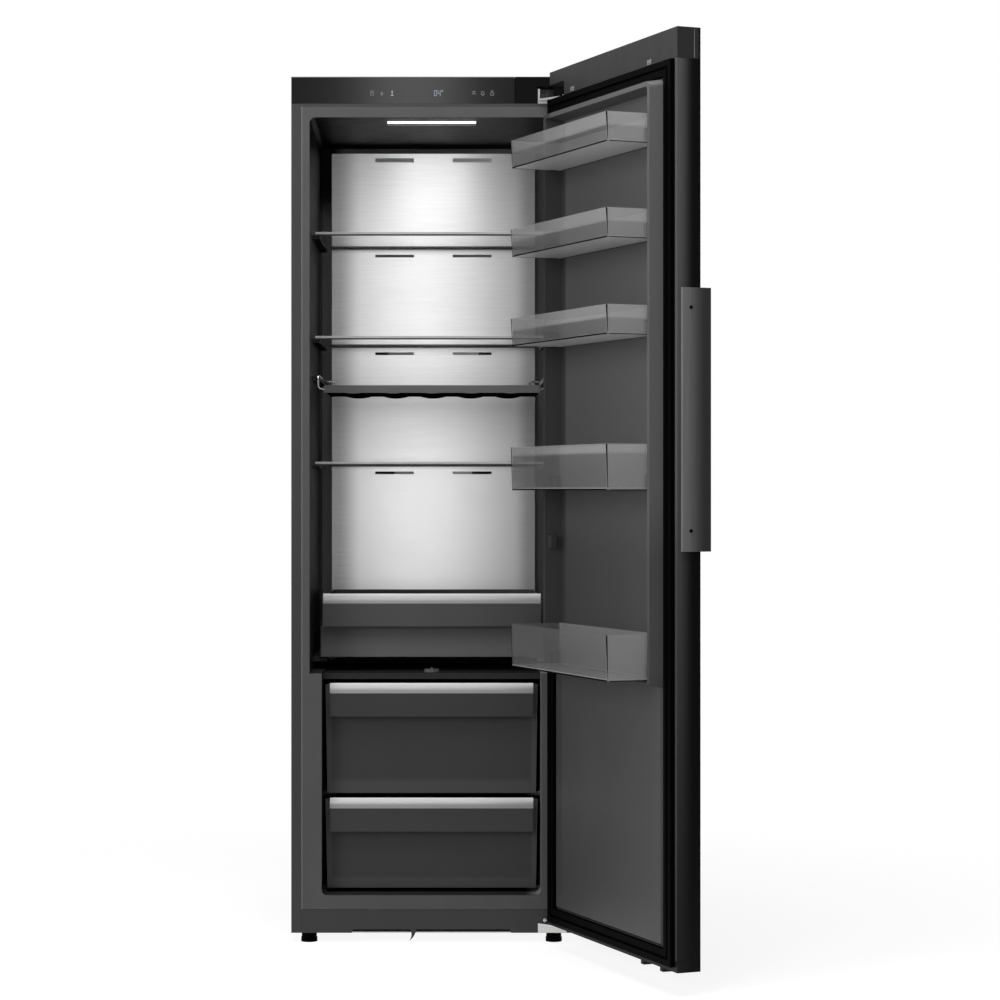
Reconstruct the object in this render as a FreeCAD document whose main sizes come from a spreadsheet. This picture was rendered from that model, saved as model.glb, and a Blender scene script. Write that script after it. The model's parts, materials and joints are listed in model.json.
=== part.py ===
"""Tall larder fridge with one right-hung door, standing open as it is shown: cabinet, cold air system, shelves,
bottle tray, chill box, two salad drawers, and a door with five bins.

Millimetres. +X is to the right as you face the fridge, +Y goes into it and +Z is up. The origin is on the floor,
under the middle of the cabinet's front face.
"""

import FreeCAD
import Part
import Sketcher
import math
import os

Vector = FreeCAD.Vector
Rotation = FreeCAD.Rotation

SIZES = (
    ("cab_width", 600, "cabinet, side to side"),
    ("cab_height", 1855, "floor to the top of the fridge"),
    ("cab_depth", 610, "cabinet front face to its back"),
    ("cab_bottom", 22, "floor to the underside of the cabinet"),
    ("top_height", 58, "height of the display panel and the lid"),
    ("steel", 1, "sheet of the cabinet's steel walls"),
    ("lip", 21, "folded front edge of a side wall"),
    ("head_lip", 6, "folded front edge over the liner"),
    ("wall", 2.5, "wall of the moulded liners and tubs"),
    ("fit", 0.3, "clearance between pieces that seat on each other"),
    ("side_wall", 39, "outside of the cabinet to the upper compartment"),
    ("head_wall", 29, "top of the steel walls to the upper compartment's ceiling"),
    ("cavity_floor", 577, "floor to the ledge under the chill box"),
    ("rear_wall", 90, "back of the cabinet to the upper compartment"),
    ("drawer_wall", 65, "outside of the cabinet to the drawer compartment"),
    ("lower_floor", 102, "floor to the drawer compartment's floor"),
    ("machine_wall", 45, "compressor space to the drawer compartment"),
    ("cavity_round", 12, "corner radius of the compartments"),
    ("flange_bottom", 72, "floor to the joint between liner and plinth"),
    ("machine_depth", 180, "depth of the compressor space"),
    ("machine_top", 270, "floor to the compressor space's ceiling"),
    ("fascia_depth", 40, "depth of the display panel"),
    ("fascia_seam", 178, "joint between display panel and hinge cover, from the middle"),
    ("cover_wall", 3, "wall of the display panel, hinge cover and lid"),
    ("board_width", 330, "length of the control board"),
    ("lamp_width", 192, "length of the ceiling lamp"),
    ("lamp_front", 62, "front face to the lamp"),
    ("lamp_depth", 40, "depth of the lamp"),
    ("lamp_drop", 4, "how far the lamp stands below the ceiling"),
    ("panel_side", 25.5, "side of the upper compartment to the steel cooling panel"),
    ("panel_stand", 55, "rear of the upper compartment to the cooling panel's face"),
    ("panel_drop", 18, "ceiling to the cooling panel's top edge"),
    ("panel_bottom", 735, "floor to the cooling panel's lower edge"),
    ("panel_sheet", 1.2, "sheet of the cooling panel"),
    ("vent_inner", 45, "middle of the panel to an air slot's inner end"),
    ("vent_length", 90, "length of an air slot"),
    ("vent_height", 6.4, "height of an air slot"),
    ("vent_head_height", 10, "height of the two top air slots"),
    ("vent_head", 10, "top of the panel to the top slots"),
    ("vent_upper", 234, "the same for the second row"),
    ("vent_middle", 460.5, "the same for the third row"),
    ("vent_lower", 737, "the same for the fourth row"),
    ("duct_depth", 16, "depth of the air duct block"),
    ("duct_half", 175, "half the width of the air duct block"),
    ("duct_foot", 145, "fan's axis to the air duct's lower edge"),
    ("fan_rise", 195, "evaporator's top edge to the fan's axis"),
    ("fan_radius", 48, "fan blade tip radius"),
    ("fan_hub", 17, "fan hub radius"),
    ("fan_width", 13, "fan hub length"),
    ("fan_shaft", 2.5, "fan motor shaft radius"),
    ("coil_half", 190, "half the width of the evaporator"),
    ("coil_foot", 20, "cooling panel's lower edge to the evaporator"),
    ("coil_pitch", 30, "distance between evaporator tubes"),
    ("coil_tube", 4, "evaporator tube radius"),
    ("coil_fin", 24, "depth of the evaporator's fins"),
    ("shelf_upper", 238, "ceiling to the top glass shelf"),
    ("shelf_middle", 465, "ceiling to the middle glass shelf"),
    ("shelf_lower", 740, "ceiling to the bottom glass shelf"),
    ("shelf_front", 115, "front face to a shelf's front edge"),
    ("shelf_back", 8, "a shelf's rear edge to the cooling panel"),
    ("shelf_glass", 4, "thickness of a glass shelf"),
    ("shelf_trim", 7.5, "height of a shelf's edge trims"),
    ("shelf_trim_depth", 11, "depth of a shelf's edge trims"),
    ("shelf_play", 6, "gap between a shelf's end and the wall"),
    ("rib_width", 15, "how far a shelf rib stands out of the wall"),
    ("rib_height", 8, "height of a shelf rib"),
    ("rib_start", 132, "front face to the front of a shelf rib"),
    ("tray_drop", 569, "ceiling to the bottle tray's front strip"),
    ("tray_strip", 16.5, "height of the bottle tray's front strip"),
    ("tray_side", 25, "side of the upper compartment to the bottle tray"),
    ("tray_front", 118, "front face to the bottle tray"),
    ("tray_back", 22, "bottle tray's rear edge to the cooling panel"),
    ("tray_sheet", 3, "wall of the bottle tray"),
    ("trough_pitch", 86, "distance between bottle troughs"),
    ("trough_drop", 4.5, "depth of a bottle trough"),
    ("wire_radius", 2.5, "radius of the tray's steel wires"),
    ("wire_side", 12, "side of the upper compartment to a wire rail's axis"),
    ("wire_rise", 21, "top of the tray's front strip to a wire rail's axis"),
    ("wire_bend", 9, "bend radius of the wires"),
    ("box_front", 114, "front face to the chill box's pull"),
    ("box_side", 16.5, "side of the upper compartment to the chill box's front panel"),
    ("box_tub_side", 29, "the same to its tub"),
    ("box_hood_side", 23, "the same to its pull"),
    ("box_top", 743, "floor to the top of the chill box"),
    ("box_bottom", 605, "floor to the underside of the chill box"),
    ("box_back", 16, "chill box to the cooling panel"),
    ("box_panel", 6, "how far the chill box's front panel stands out of its tub"),
    ("runner_width", 30, "width of a chill box runner"),
    ("runner_height", 10, "height of a chill box runner"),
    ("hood_height", 71, "height of a drawer's pull"),
    ("hood_out", 20, "how far a pull stands out of its drawer"),
    ("hood_bevel", 21, "height of a pull's bowed top"),
    ("hood_slope", 16, "depth of a pull's bowed top"),
    ("hood_bow", 2.5, "how far a pull's top bows out"),
    ("hood_wall", 3, "wall of a pull"),
    ("drawer_side", 8.5, "side of the drawer compartment to a salad drawer"),
    ("drawer_face_side", 5.5, "the same to its front face"),
    ("drawer_hood_side", 16, "the same to its pull"),
    ("drawer_front", 48, "front face to a salad drawer's front wall"),
    ("drawer_back", 12, "salad drawer to the rear of its compartment"),
    ("drawer_upper_bottom", 316, "floor to the upper salad drawer"),
    ("drawer_upper_top", 553.5, "floor to the upper salad drawer's top"),
    ("drawer_lower_bottom", 111.5, "floor to the lower salad drawer"),
    ("drawer_lower_top", 306, "floor to the lower salad drawer's top"),
    ("drawer_draft", 4, "how far a drawer's walls lean out over its height"),
    ("tub_round", 10, "corner radius of tubs"),
    ("drawer_rail", 30, "width of a drawer rail"),
    ("drawer_rail_set", 30, "salad drawer's front wall to the front ends of its rails"),
    ("drawer_lid_drop", 3, "ledge to the top of the drawers' cover"),
    ("drawer_lid", 8, "thickness of the drawers' cover"),
    ("drawer_lid_edge", 12, "height of the cover's front edge"),
    ("drawer_lid_front", 50, "front face to the cover"),
    ("drawer_lid_ledge", 7, "width of the ledges that carry the cover"),
    ("knob_radius", 17, "air knob radius"),
    ("knob_height", 9, "how far the air knob stands up"),
    ("knob_place", 95, "front face to the air knob"),
    ("knob_pin", 4, "air knob spindle radius"),
    ("door_angle", 112, "how far the door stands open, degrees"),
    ("door_reveal", 1.5, "side of the cabinet to the side of the shut door"),
    ("door_thick", 50, "door, front face to inner face"),
    ("door_gap", 11, "shut door's inner face to the cabinet"),
    ("door_bottom", 48, "floor to the door"),
    ("door_panel", 4, "thickness of the door's front panel"),
    ("door_sheet", 1.2, "sheet of the door's frame"),
    ("door_lip", 20, "folded edge of the door's frame"),
    ("cap_height", 60, "height of the door's top cap"),
    ("foot_cap", 22, "height of the door's bottom cap"),
    ("door_nub", 9, "how far the nubs under the door stand down"),
    ("door_nub_width", 16, "width of a nub"),
    ("door_nub_place", 140, "middle of the door to the first nub"),
    ("door_stop_place", 224, "middle of the door to the second nub"),
    ("hinge_inset", 10, "door's edge to the hinge axis"),
    ("hinge_depth", 36, "door's inner face to the hinge axis"),
    ("hinge_boss", 8, "radius of a hinge arm's end"),
    ("hinge_plate", 4, "thickness of a hinge arm"),
    ("hinge_root", 72, "side of the cabinet to a hinge arm's root"),
    ("hinge_root_width", 34, "width of a hinge arm's root"),
    ("hinge_rise", 6, "top of the steel walls to the top hinge arm"),
    ("hinge_web", 6, "cabinet front face to the top hinge's upright web"),
    ("hinge_low", 39, "floor to the bottom hinge arm"),
    ("hinge_foot", 20, "height of the bottom hinge's front plate"),
    ("pin_radius", 4, "hinge pin radius"),
    ("pin_length", 40, "top hinge pin length"),
    ("pin_low", 24, "bottom hinge pin length"),
    ("pin_play", 0.06, "clearance round a pin or shaft"),
    ("notch_length", 74, "hinge notch in the top cap, along the door"),
    ("notch_height", 33, "hinge notch in the top cap, height"),
    ("gasket_inset", 10, "door's edge to the gasket"),
    ("gasket_drop", 12, "how far the gasket reaches below the top of the bottom cap"),
    ("gasket_width", 30, "width of the gasket"),
    ("gasket_thick", 10, "thickness of the gasket"),
    ("gasket_fold", 6, "width of the fold along the gasket"),
    ("dyke_margin", 2, "gasket to the ridge round the bins and to the lower panel"),
    ("dyke_width", 21, "width of that ridge at its base"),
    ("dyke_height", 36, "height of that ridge"),
    ("dyke_draft", 6, "how far its sides lean in"),
    ("dyke_round", 14, "its corner radius"),
    ("dyke_end", 588, "floor to the lower end of the ridge"),
    ("pad_raise", 9, "how far the door's lower panel stands out"),
    ("bin_play", 3, "gap between a bin's end and the ridge"),
    ("bin_back", 4, "door's inner face to a bin"),
    ("bin_reach", 115.5, "door's inner face to a bin's front wall"),
    ("bin_flare", 3, "how far a bin's front wall leans out"),
    ("bin_round", 3, "corner radius of a bin"),
    ("bin_short", 57, "height of the three upper bins"),
    ("bin_tall", 89, "height of the two lower bins"),
    ("bin_head", 216, "top of the door to the foot of the top bin"),
    ("bin_second", 400, "the same for the second bin"),
    ("bin_third", 585.5, "the same for the third bin"),
    ("bin_fourth", 970, "floor to the fourth bin"),
    ("bin_last", 603, "floor to the bottom bin"),
    ("boss_spare", 849, "floor to the spare pair of bin bosses"),
    ("boss_width", 13, "width of a bin boss"),
    ("boss_height", 26, "height of a bin boss"),
    ("boss_reach", 11, "how far a bin boss stands out of the ridge"),
    ("boss_place", 23, "door's inner face to the middle of a bin boss"),
    ("boss_play", 0.8, "clearance round a bin boss"),
    ("handle_bottom", 852, "floor to the door handle"),
    ("handle_length", 505, "length of the door handle"),
    ("handle_plate", 6, "thickness of the door handle"),
    ("handle_start", 7, "door's inner face to the handle's rear edge"),
    ("handle_width", 62.5, "width of the door handle"),
    ("handle_return", 20, "width of the handle's finger edge"),
    ("handle_edge", 4.8, "thickness of its finger edge"),
    ("foot_radius", 17.5, "front foot radius"),
    ("foot_height", 18, "front foot height"),
    ("foot_side", 37, "side of the cabinet to a front foot"),
    ("foot_set", 30, "front face to a front foot"),
    ("stud_radius", 5, "front foot stud radius"),
    ("stud_length", 30, "front foot stud length"),
    ("base_sheet", 2, "sheet of the base"),
    ("roller_radius", 15, "rear roller radius"),
    ("roller_width", 18, "rear roller width"),
    ("roller_side", 50, "side of the cabinet to a rear roller"),
    ("roller_set", 40, "back of the cabinet to a rear roller's axle"),
    ("axle_radius", 3, "rear roller axle radius"),
    ("roller_cheek", 3, "thickness of a roller bracket's cheek"),
    ("plinth_wall", 3, "wall of the plinth"),
    ("plinth_gap", 167, "half the width of the plinth's lower cut-out"),
    ("plinth_rise", 7.5, "height of that cut-out"),
    ("hook_drop", 24, "how far the plinth's hook hangs down"),
    ("hook_width", 13, "width of the hook at its root"),
    ("hook_lean", 8, "how far the hook's tip lies to the left of its middle"),
    ("hook_bow", 3.5, "how far the hook bows to the right"),
    ("hook_place", 39, "middle of the fridge to the plinth's hook"),
    ("compressor_place", 70, "middle of the fridge to the compressor"),
    ("compressor_set", 92, "back of the cabinet to the compressor's axis"),
    ("compressor_radius", 72, "compressor shell radius"),
    ("compressor_height", 150, "compressor shell height"),
    ("grommet_radius", 10, "compressor rubber foot radius"),
    ("grommet_height", 14, "compressor rubber foot height"),
    ("grommet_pitch", 120, "distance between the rubber feet"),
    ("drip_height", 32, "height of the drip tray"),
    ("drip_width", 150, "drip tray, side to side"),
    ("drip_depth", 130, "drip tray, front to back"),
    ("pipe_radius", 4, "refrigerant pipe radius"),
    ("gland_radius", 11, "mains lead gland radius"),
    ("gland_length", 24, "mains lead gland length"),
    ("gland_bore", 3.5, "mains lead gland bore radius"),
    ("gland_side", 70, "side of the cabinet to the gland"),
    ("gland_level", 200, "floor to the gland"),
)

doc = FreeCAD.newDocument("larder_fridge")
sheet = doc.addObject("Spreadsheet::Sheet", "dims")


class Size:
    """A length or angle of the model: its value, and the sheet expression that gives it."""

    def __init__(self, text, value):
        self.text = text
        self.value = value

    def __add__(self, other):
        other = as_size(other)
        return Size(f"({self.text} + {other.text})", self.value + other.value)

    def __sub__(self, other):
        other = as_size(other)
        return Size(f"({self.text} - {other.text})", self.value - other.value)

    def __mul__(self, factor):
        return Size(f"({self.text} * {factor})", self.value * factor)

    def __truediv__(self, factor):
        return Size(f"({self.text} / {factor})", self.value / factor)

    def __neg__(self):
        return Size(f"(0 - {self.text})", -self.value)

    def __radd__(self, other):
        return as_size(other) + self

    def __rsub__(self, other):
        return as_size(other) - self


def as_size(number):
    return number if isinstance(number, Size) else Size(f"({float(number)})", float(number))


for row, (alias, number, meaning) in enumerate(SIZES, 1):
    sheet.set(f"A{row}", meaning)
    sheet.set(f"B{row}", str(number))
    sheet.setAlias(f"B{row}", alias)
doc.recompute()
D = {alias: Size(f"dims.{alias}", float(sheet.get(alias))) for alias, number, meaning in SIZES}

PAST = 2  # how far a cutting form runs past the face that it opens
HALF = D["cab_width"] / 2
FIT = D["fit"]
WALL = D["wall"]
COIL_RUNS = 6
FIN_COUNT = 4
BLADES = 5
FAN_PITCH = 28  # degrees
TUBE_SIDES = 8
CAN_SIDES = 24
ELBOW_STEPS = 4
ALONG = 0.95  # cosine of the lean up to which an edge still runs along an axis
PIECES = []


# Helpers: bound primitives, outlines and booleans


def bind(item, prop, size):
    item.setExpression(prop, as_size(size).text)


def place(item, x=0, y=0, z=0, rotation=None):
    item.Placement = FreeCAD.Placement(Vector(), rotation or Rotation())
    for axis, size in zip("xyz", (x, y, z)):
        bind(item, f"Placement.Base.{axis}", size)
    return item


def mirror_pair(half):
    """The range from -half to half."""
    return (-half, half)


def box(name, x, y, z):
    """A box between the low and high value on each axis."""
    item = doc.addObject("Part::Box", name)
    for prop, (low, high) in zip(("Length", "Width", "Height"), (x, y, z)):
        bind(item, prop, as_size(high) - low)
    return place(item, x[0], y[0], z[0])


def cylinder(name, radius, start, length, axis="Z"):
    item = doc.addObject("Part::Cylinder", name)
    bind(item, "Radius", radius)
    bind(item, "Height", length)
    turn = {"X": Rotation(Vector(0, 1, 0), 90), "Y": Rotation(Vector(1, 0, 0), -90), "Z": Rotation()}[axis]
    return place(item, *start, turn)


def wedge(name, x, y, z, x_far, z_far):
    """A block that tapers along Y: x and z at the low end, x_far and z_far at the high end."""
    item = doc.addObject("Part::Wedge", name)
    ranges = {"X": x, "Y": y, "Z": z, "X2": x_far, "Z2": z_far}
    for prop, (low, high) in ranges.items():
        bind(item, prop + "min", low)
        bind(item, prop + "max", high)
    return item


def tub_form(name, x, y, z, lean):
    """A block whose top is wider than its foot by lean: left, right, front and back."""
    left, right, front, back = lean
    item = wedge(name, x, (0, as_size(z[1]) - z[0]), (-as_size(y[1]), -as_size(y[0])),
                 (as_size(x[0]) - left, as_size(x[1]) + right),
                 (-(as_size(y[1]) + back), -(as_size(y[0]) - front)))
    return place(item, 0, 0, z[0], Rotation(Vector(1, 0, 0), 90))


def fuse(name, *items):
    item = doc.addObject("Part::MultiFuse", name)
    item.Shapes = list(items)
    item.Refine = True
    return item


def cut(name, base, *tools):
    item = doc.addObject("Part::Cut", name)
    item.Base = base
    item.Tool = tools[0] if len(tools) == 1 else fuse(name + "_tools", *tools)
    item.Refine = True
    return item


def rounded(name, base, radius, choose):
    """Rounds the edges of base that choose accepts."""
    doc.recompute()
    item = doc.addObject("Part::Fillet", name)
    item.Base = base
    chosen = [number for number, edge in enumerate(base.Shape.Edges, 1) if choose(edge)]
    item.Edges = [(number, radius.value, radius.value) for number in chosen]
    return item


def runs(edge, axis):
    """Does a straight edge run along this axis?"""
    if edge.Curve.TypeId != "Part::GeomLine":
        return False
    return abs(edge.tangentAt(edge.FirstParameter).dot(axis)) > ALONG


def upright(edge):
    return runs(edge, Vector(0, 0, 1))


def lengthwise(edge):
    return runs(edge, Vector(0, 1, 0))


def outline(body, name, role, points, offset=0):
    """A closed outline of straight lines on one of the body's own planes, every corner bound to the sheet."""
    sketch = body.newObject("Sketcher::SketchObject", name)
    plane = next(item for item in body.Origin.OriginFeatures if item.Role == role)
    sketch.AttachmentSupport = [(plane, "")]
    sketch.MapMode = "FlatFace"
    bind(sketch, "AttachmentOffset.Base.z", offset)
    corners = [(as_size(a), as_size(b)) for a, b in points]
    flat = [Vector(a.value, b.value, 0) for a, b in corners]
    count = len(flat)
    for number in range(count):
        sketch.addGeometry(Part.LineSegment(flat[number], flat[(number + 1) % count]))
    for number in range(count):
        sketch.addConstraint(Sketcher.Constraint("Coincident", number, 2, (number + 1) % count, 1))
    for number, (a, b) in enumerate(corners):
        for kind, size in (("DistanceX", a), ("DistanceY", b)):
            held = sketch.addConstraint(Sketcher.Constraint(kind, -1, 1, number, 1, size.value))
            bind(sketch, f"Constraints[{held}]", size)
    return sketch


def extruded(body, kind, name, sketch, length, middle=True, backwards=False):
    """A Pad or Pocket of a sketch."""
    feature = body.newObject(f"PartDesign::{kind}", name)
    feature.Profile = sketch
    feature.Midplane = middle
    feature.Reversed = backwards
    bind(feature, "Length", length)
    return feature


def prism(name, role, points, length, offset=0, middle=True, backwards=False):
    body = doc.addObject("PartDesign::Body", name)
    sketch = outline(body, name + "_outline", role, points, offset)
    extruded(body, "Pad", name + "_pad", sketch, length, middle, backwards)
    return body


def turned(name, points):
    """A solid of revolution about Z, from the radius and height of each corner of its half section."""
    body = doc.addObject("PartDesign::Body", name)
    sketch = outline(body, name + "_section", "XZ_Plane", points)
    feature = body.newObject("PartDesign::Revolution", name + "_turn")
    feature.Profile = sketch
    feature.ReferenceAxis = (sketch, ["V_Axis"])
    feature.Angle = 360
    return body


def ring(centre, normal, side, radius, sides):
    """Corners of a regular polygon round centre, square to normal, with a flat towards side."""
    spoke = Rotation(normal, 180 / sides).multVec(side) * radius
    return [centre + Rotation(normal, 360 / sides * number).multVec(spoke) for number in range(sides)]


def through(rings):
    """A flat-sided solid through a row of rings."""
    loops = [rings[0][::-1], rings[-1]]
    for before, after in zip(rings, rings[1:]):
        loops += [[before[number - 1], before[number], after[number], after[number - 1]]
                  for number in range(len(before))]
    faces = [Part.Face(Part.makePolygon(loop + loop[:1])) for loop in loops]
    return Part.Solid(Part.Shell(faces))


def flat_turned(points):
    """A many-sided can about Z, from the radius and height of each corner of its half section."""
    return through([ring(Vector(0, 0, height), Vector(0, 0, 1), Vector(1, 0, 0), radius, CAN_SIDES)
                    for radius, height in points])


def tube(points, radius, bend):
    """A flat-sided bar along straight runs, with elbows of one bend radius at the corners."""
    side = (points[0] - points[1]).cross(points[2] - points[1]).normalize()
    rings = [ring(points[0], points[1] - points[0], side, radius, TUBE_SIDES)]
    for before, corner, after in zip(points, points[1:], points[2:]):
        back = (before - corner).normalize()
        ahead = (after - corner).normalize()
        half = back.getAngle(ahead) / 2
        enter = corner + back * (bend / math.tan(half))
        centre = corner + (back + ahead).normalize() * (bend / math.sin(half))
        turn = 180 - math.degrees(half * 2)
        for step in range(ELBOW_STEPS + 1):
            spin = Rotation(ahead.cross(back), turn * step / ELBOW_STEPS)
            middle = centre + spin.multVec(enter - centre)
            rings.append(ring(middle, spin.multVec(back * -1), spin.multVec(side), radius, TUBE_SIDES))
        side = spin.multVec(side)
    rings.append(ring(points[-1], points[-1] - points[-2], side, radius, TUBE_SIDES))
    return through(rings)


def modelled(name, shape):
    """A piece made by Part's own functions."""
    item = doc.addObject("Part::Feature", name)
    item.Shape = shape
    return item


def piece(label, item):
    """Names a finished sub-part."""
    item.Label = label
    PIECES.append(item)
    return item


def hang(label, item):
    """Names a sub-part of the door, which is modelled shut, and swings it open about the hinge axis."""
    doc.recompute()
    turn = Rotation(Vector(0, 0, 1), D["door_angle"].value)
    swing = FreeCAD.Placement(Vector(), turn, Vector(HINGE_X.value, HINGE_Y.value, 0))
    item.Placement = swing.multiply(item.Placement)
    return piece(label, item)


# Shared places

LID_Z = D["cab_height"] - D["top_height"]  # top of the cabinet's steel walls
BASE_TOP = D["cab_bottom"] + D["base_sheet"]
MACHINE_Y = D["cab_depth"] - D["machine_depth"]
FOOT_X = HALF - D["foot_side"]
ROLLER_X = HALF - D["roller_side"]
ROLLER_Y = D["cab_depth"] - D["roller_set"]

CAVITY_HALF = HALF - D["side_wall"]
CAVITY_TOP = LID_Z - D["head_wall"]
CAVITY_Y = D["cab_depth"] - D["rear_wall"]  # rear wall of the upper compartment
LOWER_HALF = HALF - D["drawer_wall"]
LOWER_Y = MACHINE_Y - D["machine_wall"]
PANEL_HALF = CAVITY_HALF - D["panel_side"]
PANEL_Y = CAVITY_Y - D["panel_stand"]
PANEL_TOP = CAVITY_TOP - D["panel_drop"]
FAN_Z = D["panel_bottom"] + D["coil_foot"] + D["coil_pitch"] * COIL_RUNS + D["fan_rise"]
SHELF_HALF = CAVITY_HALF - D["shelf_play"]
SHELF_Y = PANEL_Y - D["shelf_back"]  # rear edge of the shelves
SHELF_Z = {name: CAVITY_TOP - D[f"shelf_{name}"] for name in ("upper", "middle", "lower")}
TRAY_Z = CAVITY_TOP - D["tray_drop"]
WIRE_Z = TRAY_Z + D["wire_rise"]
COVER_TOP = D["cavity_floor"] - D["drawer_lid_drop"]

DOOR_HALF = HALF - D["door_reveal"]
INNER_Y = -D["door_gap"]  # inner face of the shut door
OUTER_Y = INNER_Y - D["door_thick"]
FRAME_Y = OUTER_Y + D["door_panel"] + FIT  # front of the door's frame, behind its front panel
CAP_Z = D["cab_height"] - D["cap_height"]
FOOT_CAP_Z = D["door_bottom"] + D["foot_cap"]
HINGE_X = DOOR_HALF - D["hinge_inset"]
HINGE_Y = INNER_Y - D["hinge_depth"]
HINGE_Z = LID_Z + D["hinge_rise"]
HINGE_ROOT = HALF - D["hinge_root"]
GASKET_LOW = FOOT_CAP_Z - D["gasket_drop"]
GASKET_HIGH = CAP_Z - FIT * 2
DYKE_OUTER = DOOR_HALF - D["gasket_inset"] - D["gasket_width"] - D["dyke_margin"]
DYKE_INNER = DYKE_OUTER - D["dyke_width"]


# Cabinet


def cabinet_shell():
    """Steel sides and head, bent from one sheet, with the front edges folded in."""
    depth = (0, D["cab_depth"])
    block = box("shell_block", mirror_pair(HALF), depth, (D["cab_bottom"], LID_Z))
    room = box("shell_room", mirror_pair(HALF - D["steel"]), (D["steel"], D["cab_depth"] + PAST),
               (D["cab_bottom"] - PAST, LID_Z - D["steel"]))
    mouth = box("shell_mouth", mirror_pair(HALF - D["lip"]), (-PAST, D["steel"] + PAST),
                (D["cab_bottom"] - PAST, LID_Z - D["head_lip"]))
    return piece("cabinet_shell", cut("shell", block, room, mouth))


def liner_ribs():
    """Wall ribs of both compartments: under the shelves, the tray's wires, the drawers and their cover."""
    upper, lower = CAVITY_HALF, LOWER_HALF
    reach = (D["rib_start"], SHELF_Y)
    seats = [level - D["shelf_glass"] / 2 - FIT for level in SHELF_Z.values()]
    seats.append(WIRE_Z - D["wire_radius"] - FIT)
    ribs = [(upper, D["rib_width"], reach, (seat - D["rib_height"], seat)) for seat in seats]
    drawer = (D["drawer_front"] + D["drawer_rail_set"], LOWER_Y)
    upper_rail = D["drawer_upper_bottom"] - FIT
    lower_rail = D["drawer_lower_bottom"] - FIT
    ledge = COVER_TOP - D["drawer_lid"] - FIT
    ribs.append((lower, D["drawer_rail"], drawer, (upper_rail - D["rib_height"], upper_rail)))
    ribs.append((lower, D["drawer_rail"], drawer, (D["lower_floor"] - WALL / 2, lower_rail)))
    ribs.append((lower, D["drawer_lid_ledge"], drawer, (ledge - D["rib_height"] / 2, ledge)))
    made = []
    for number, (half, width, depth, height) in enumerate(ribs):
        root = half + WALL / 2
        made.append(box(f"rib_left_{number}", (-root, width - half), depth, height))
        made.append(box(f"rib_right_{number}", (half - width, root), depth, height))
    return made


def liner():
    """Moulded inner lining: the wide upper compartment, the narrower drawer space and the front flange."""
    upper, lower = CAVITY_HALF, LOWER_HALF
    blocks = [
        box("liner_upper", mirror_pair(upper + WALL), (0, CAVITY_Y + WALL),
            (D["cavity_floor"] - WALL, CAVITY_TOP + WALL)),
        box("liner_lower", mirror_pair(lower + WALL), (0, LOWER_Y + WALL),
            (D["lower_floor"] - WALL, D["cavity_floor"])),
        box("liner_flange", mirror_pair(HALF - D["lip"] - FIT), (0, WALL),
            (D["flange_bottom"] + FIT, LID_Z - D["head_lip"] - FIT)),
    ]
    upper_room = box("room_upper", mirror_pair(upper), (-PAST, CAVITY_Y), (D["cavity_floor"], CAVITY_TOP))
    lower_room = box("room_lower", mirror_pair(lower), (-PAST, LOWER_Y),
                     (D["lower_floor"], D["cavity_floor"] + PAST))
    upper_room = rounded("room_upper_round", upper_room, D["cavity_round"],
                         lambda edge: lengthwise(edge) and edge.CenterOfMass.z > D["cavity_floor"].value + PAST)
    lower_room = rounded("room_lower_round", lower_room, D["cavity_round"],
                         lambda edge: lengthwise(edge) and edge.CenterOfMass.z < D["lower_floor"].value + PAST)
    shell = cut("liner_shell", fuse("liner_blocks", *blocks), upper_room, lower_room)
    return piece("inner_liner", fuse("liner", shell, *liner_ribs()))


def insulation():
    """Foam between the steel walls and the liner, stepped over the compressor space."""
    gap = WALL + FIT
    upper, lower = CAVITY_HALF, LOWER_HALF
    block = box("foam_block", mirror_pair(HALF - D["steel"] - FIT), (gap, D["cab_depth"] - D["steel"] - FIT),
                (BASE_TOP + FIT, LID_Z - D["steel"] - FIT))
    rooms = [
        box("foam_upper", mirror_pair(upper + gap), (-PAST, CAVITY_Y + gap),
            (D["cavity_floor"] - gap, CAVITY_TOP + gap)),
        box("foam_lower", mirror_pair(lower + gap), (-PAST, LOWER_Y + gap),
            (D["lower_floor"] - gap, D["cavity_floor"])),
        box("foam_machine", mirror_pair(HALF), (MACHINE_Y - D["steel"] - FIT, D["cab_depth"] + PAST),
            (0, D["machine_top"] + D["steel"] + FIT)),
        box("foam_plinth", mirror_pair(HALF), (0, D["foot_set"] + D["foot_radius"] * 2),
            (0, D["flange_bottom"])),
    ]
    return piece("foam_insulation", cut("foam", block, *rooms))


def rear_walls():
    """Flat steel back, and the bent sheet that lines the compressor space."""
    inside = HALF - D["steel"] - FIT
    back = box("back_sheet", mirror_pair(inside), (D["cab_depth"] - D["steel"], D["cab_depth"]),
               (D["machine_top"] + D["steel"], LID_Z - D["steel"] - FIT))
    piece("rear_panel", back)
    top = D["machine_top"]
    bulkhead = prism("bulkhead", "YZ_Plane", [
        (MACHINE_Y - D["steel"], BASE_TOP + FIT), (MACHINE_Y, BASE_TOP + FIT), (MACHINE_Y, top),
        (D["cab_depth"], top), (D["cab_depth"], top + D["steel"] - FIT),
        (MACHINE_Y - D["steel"], top + D["steel"] - FIT),
    ], inside * 2)
    return piece("machine_bulkhead", bulkhead)


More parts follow.
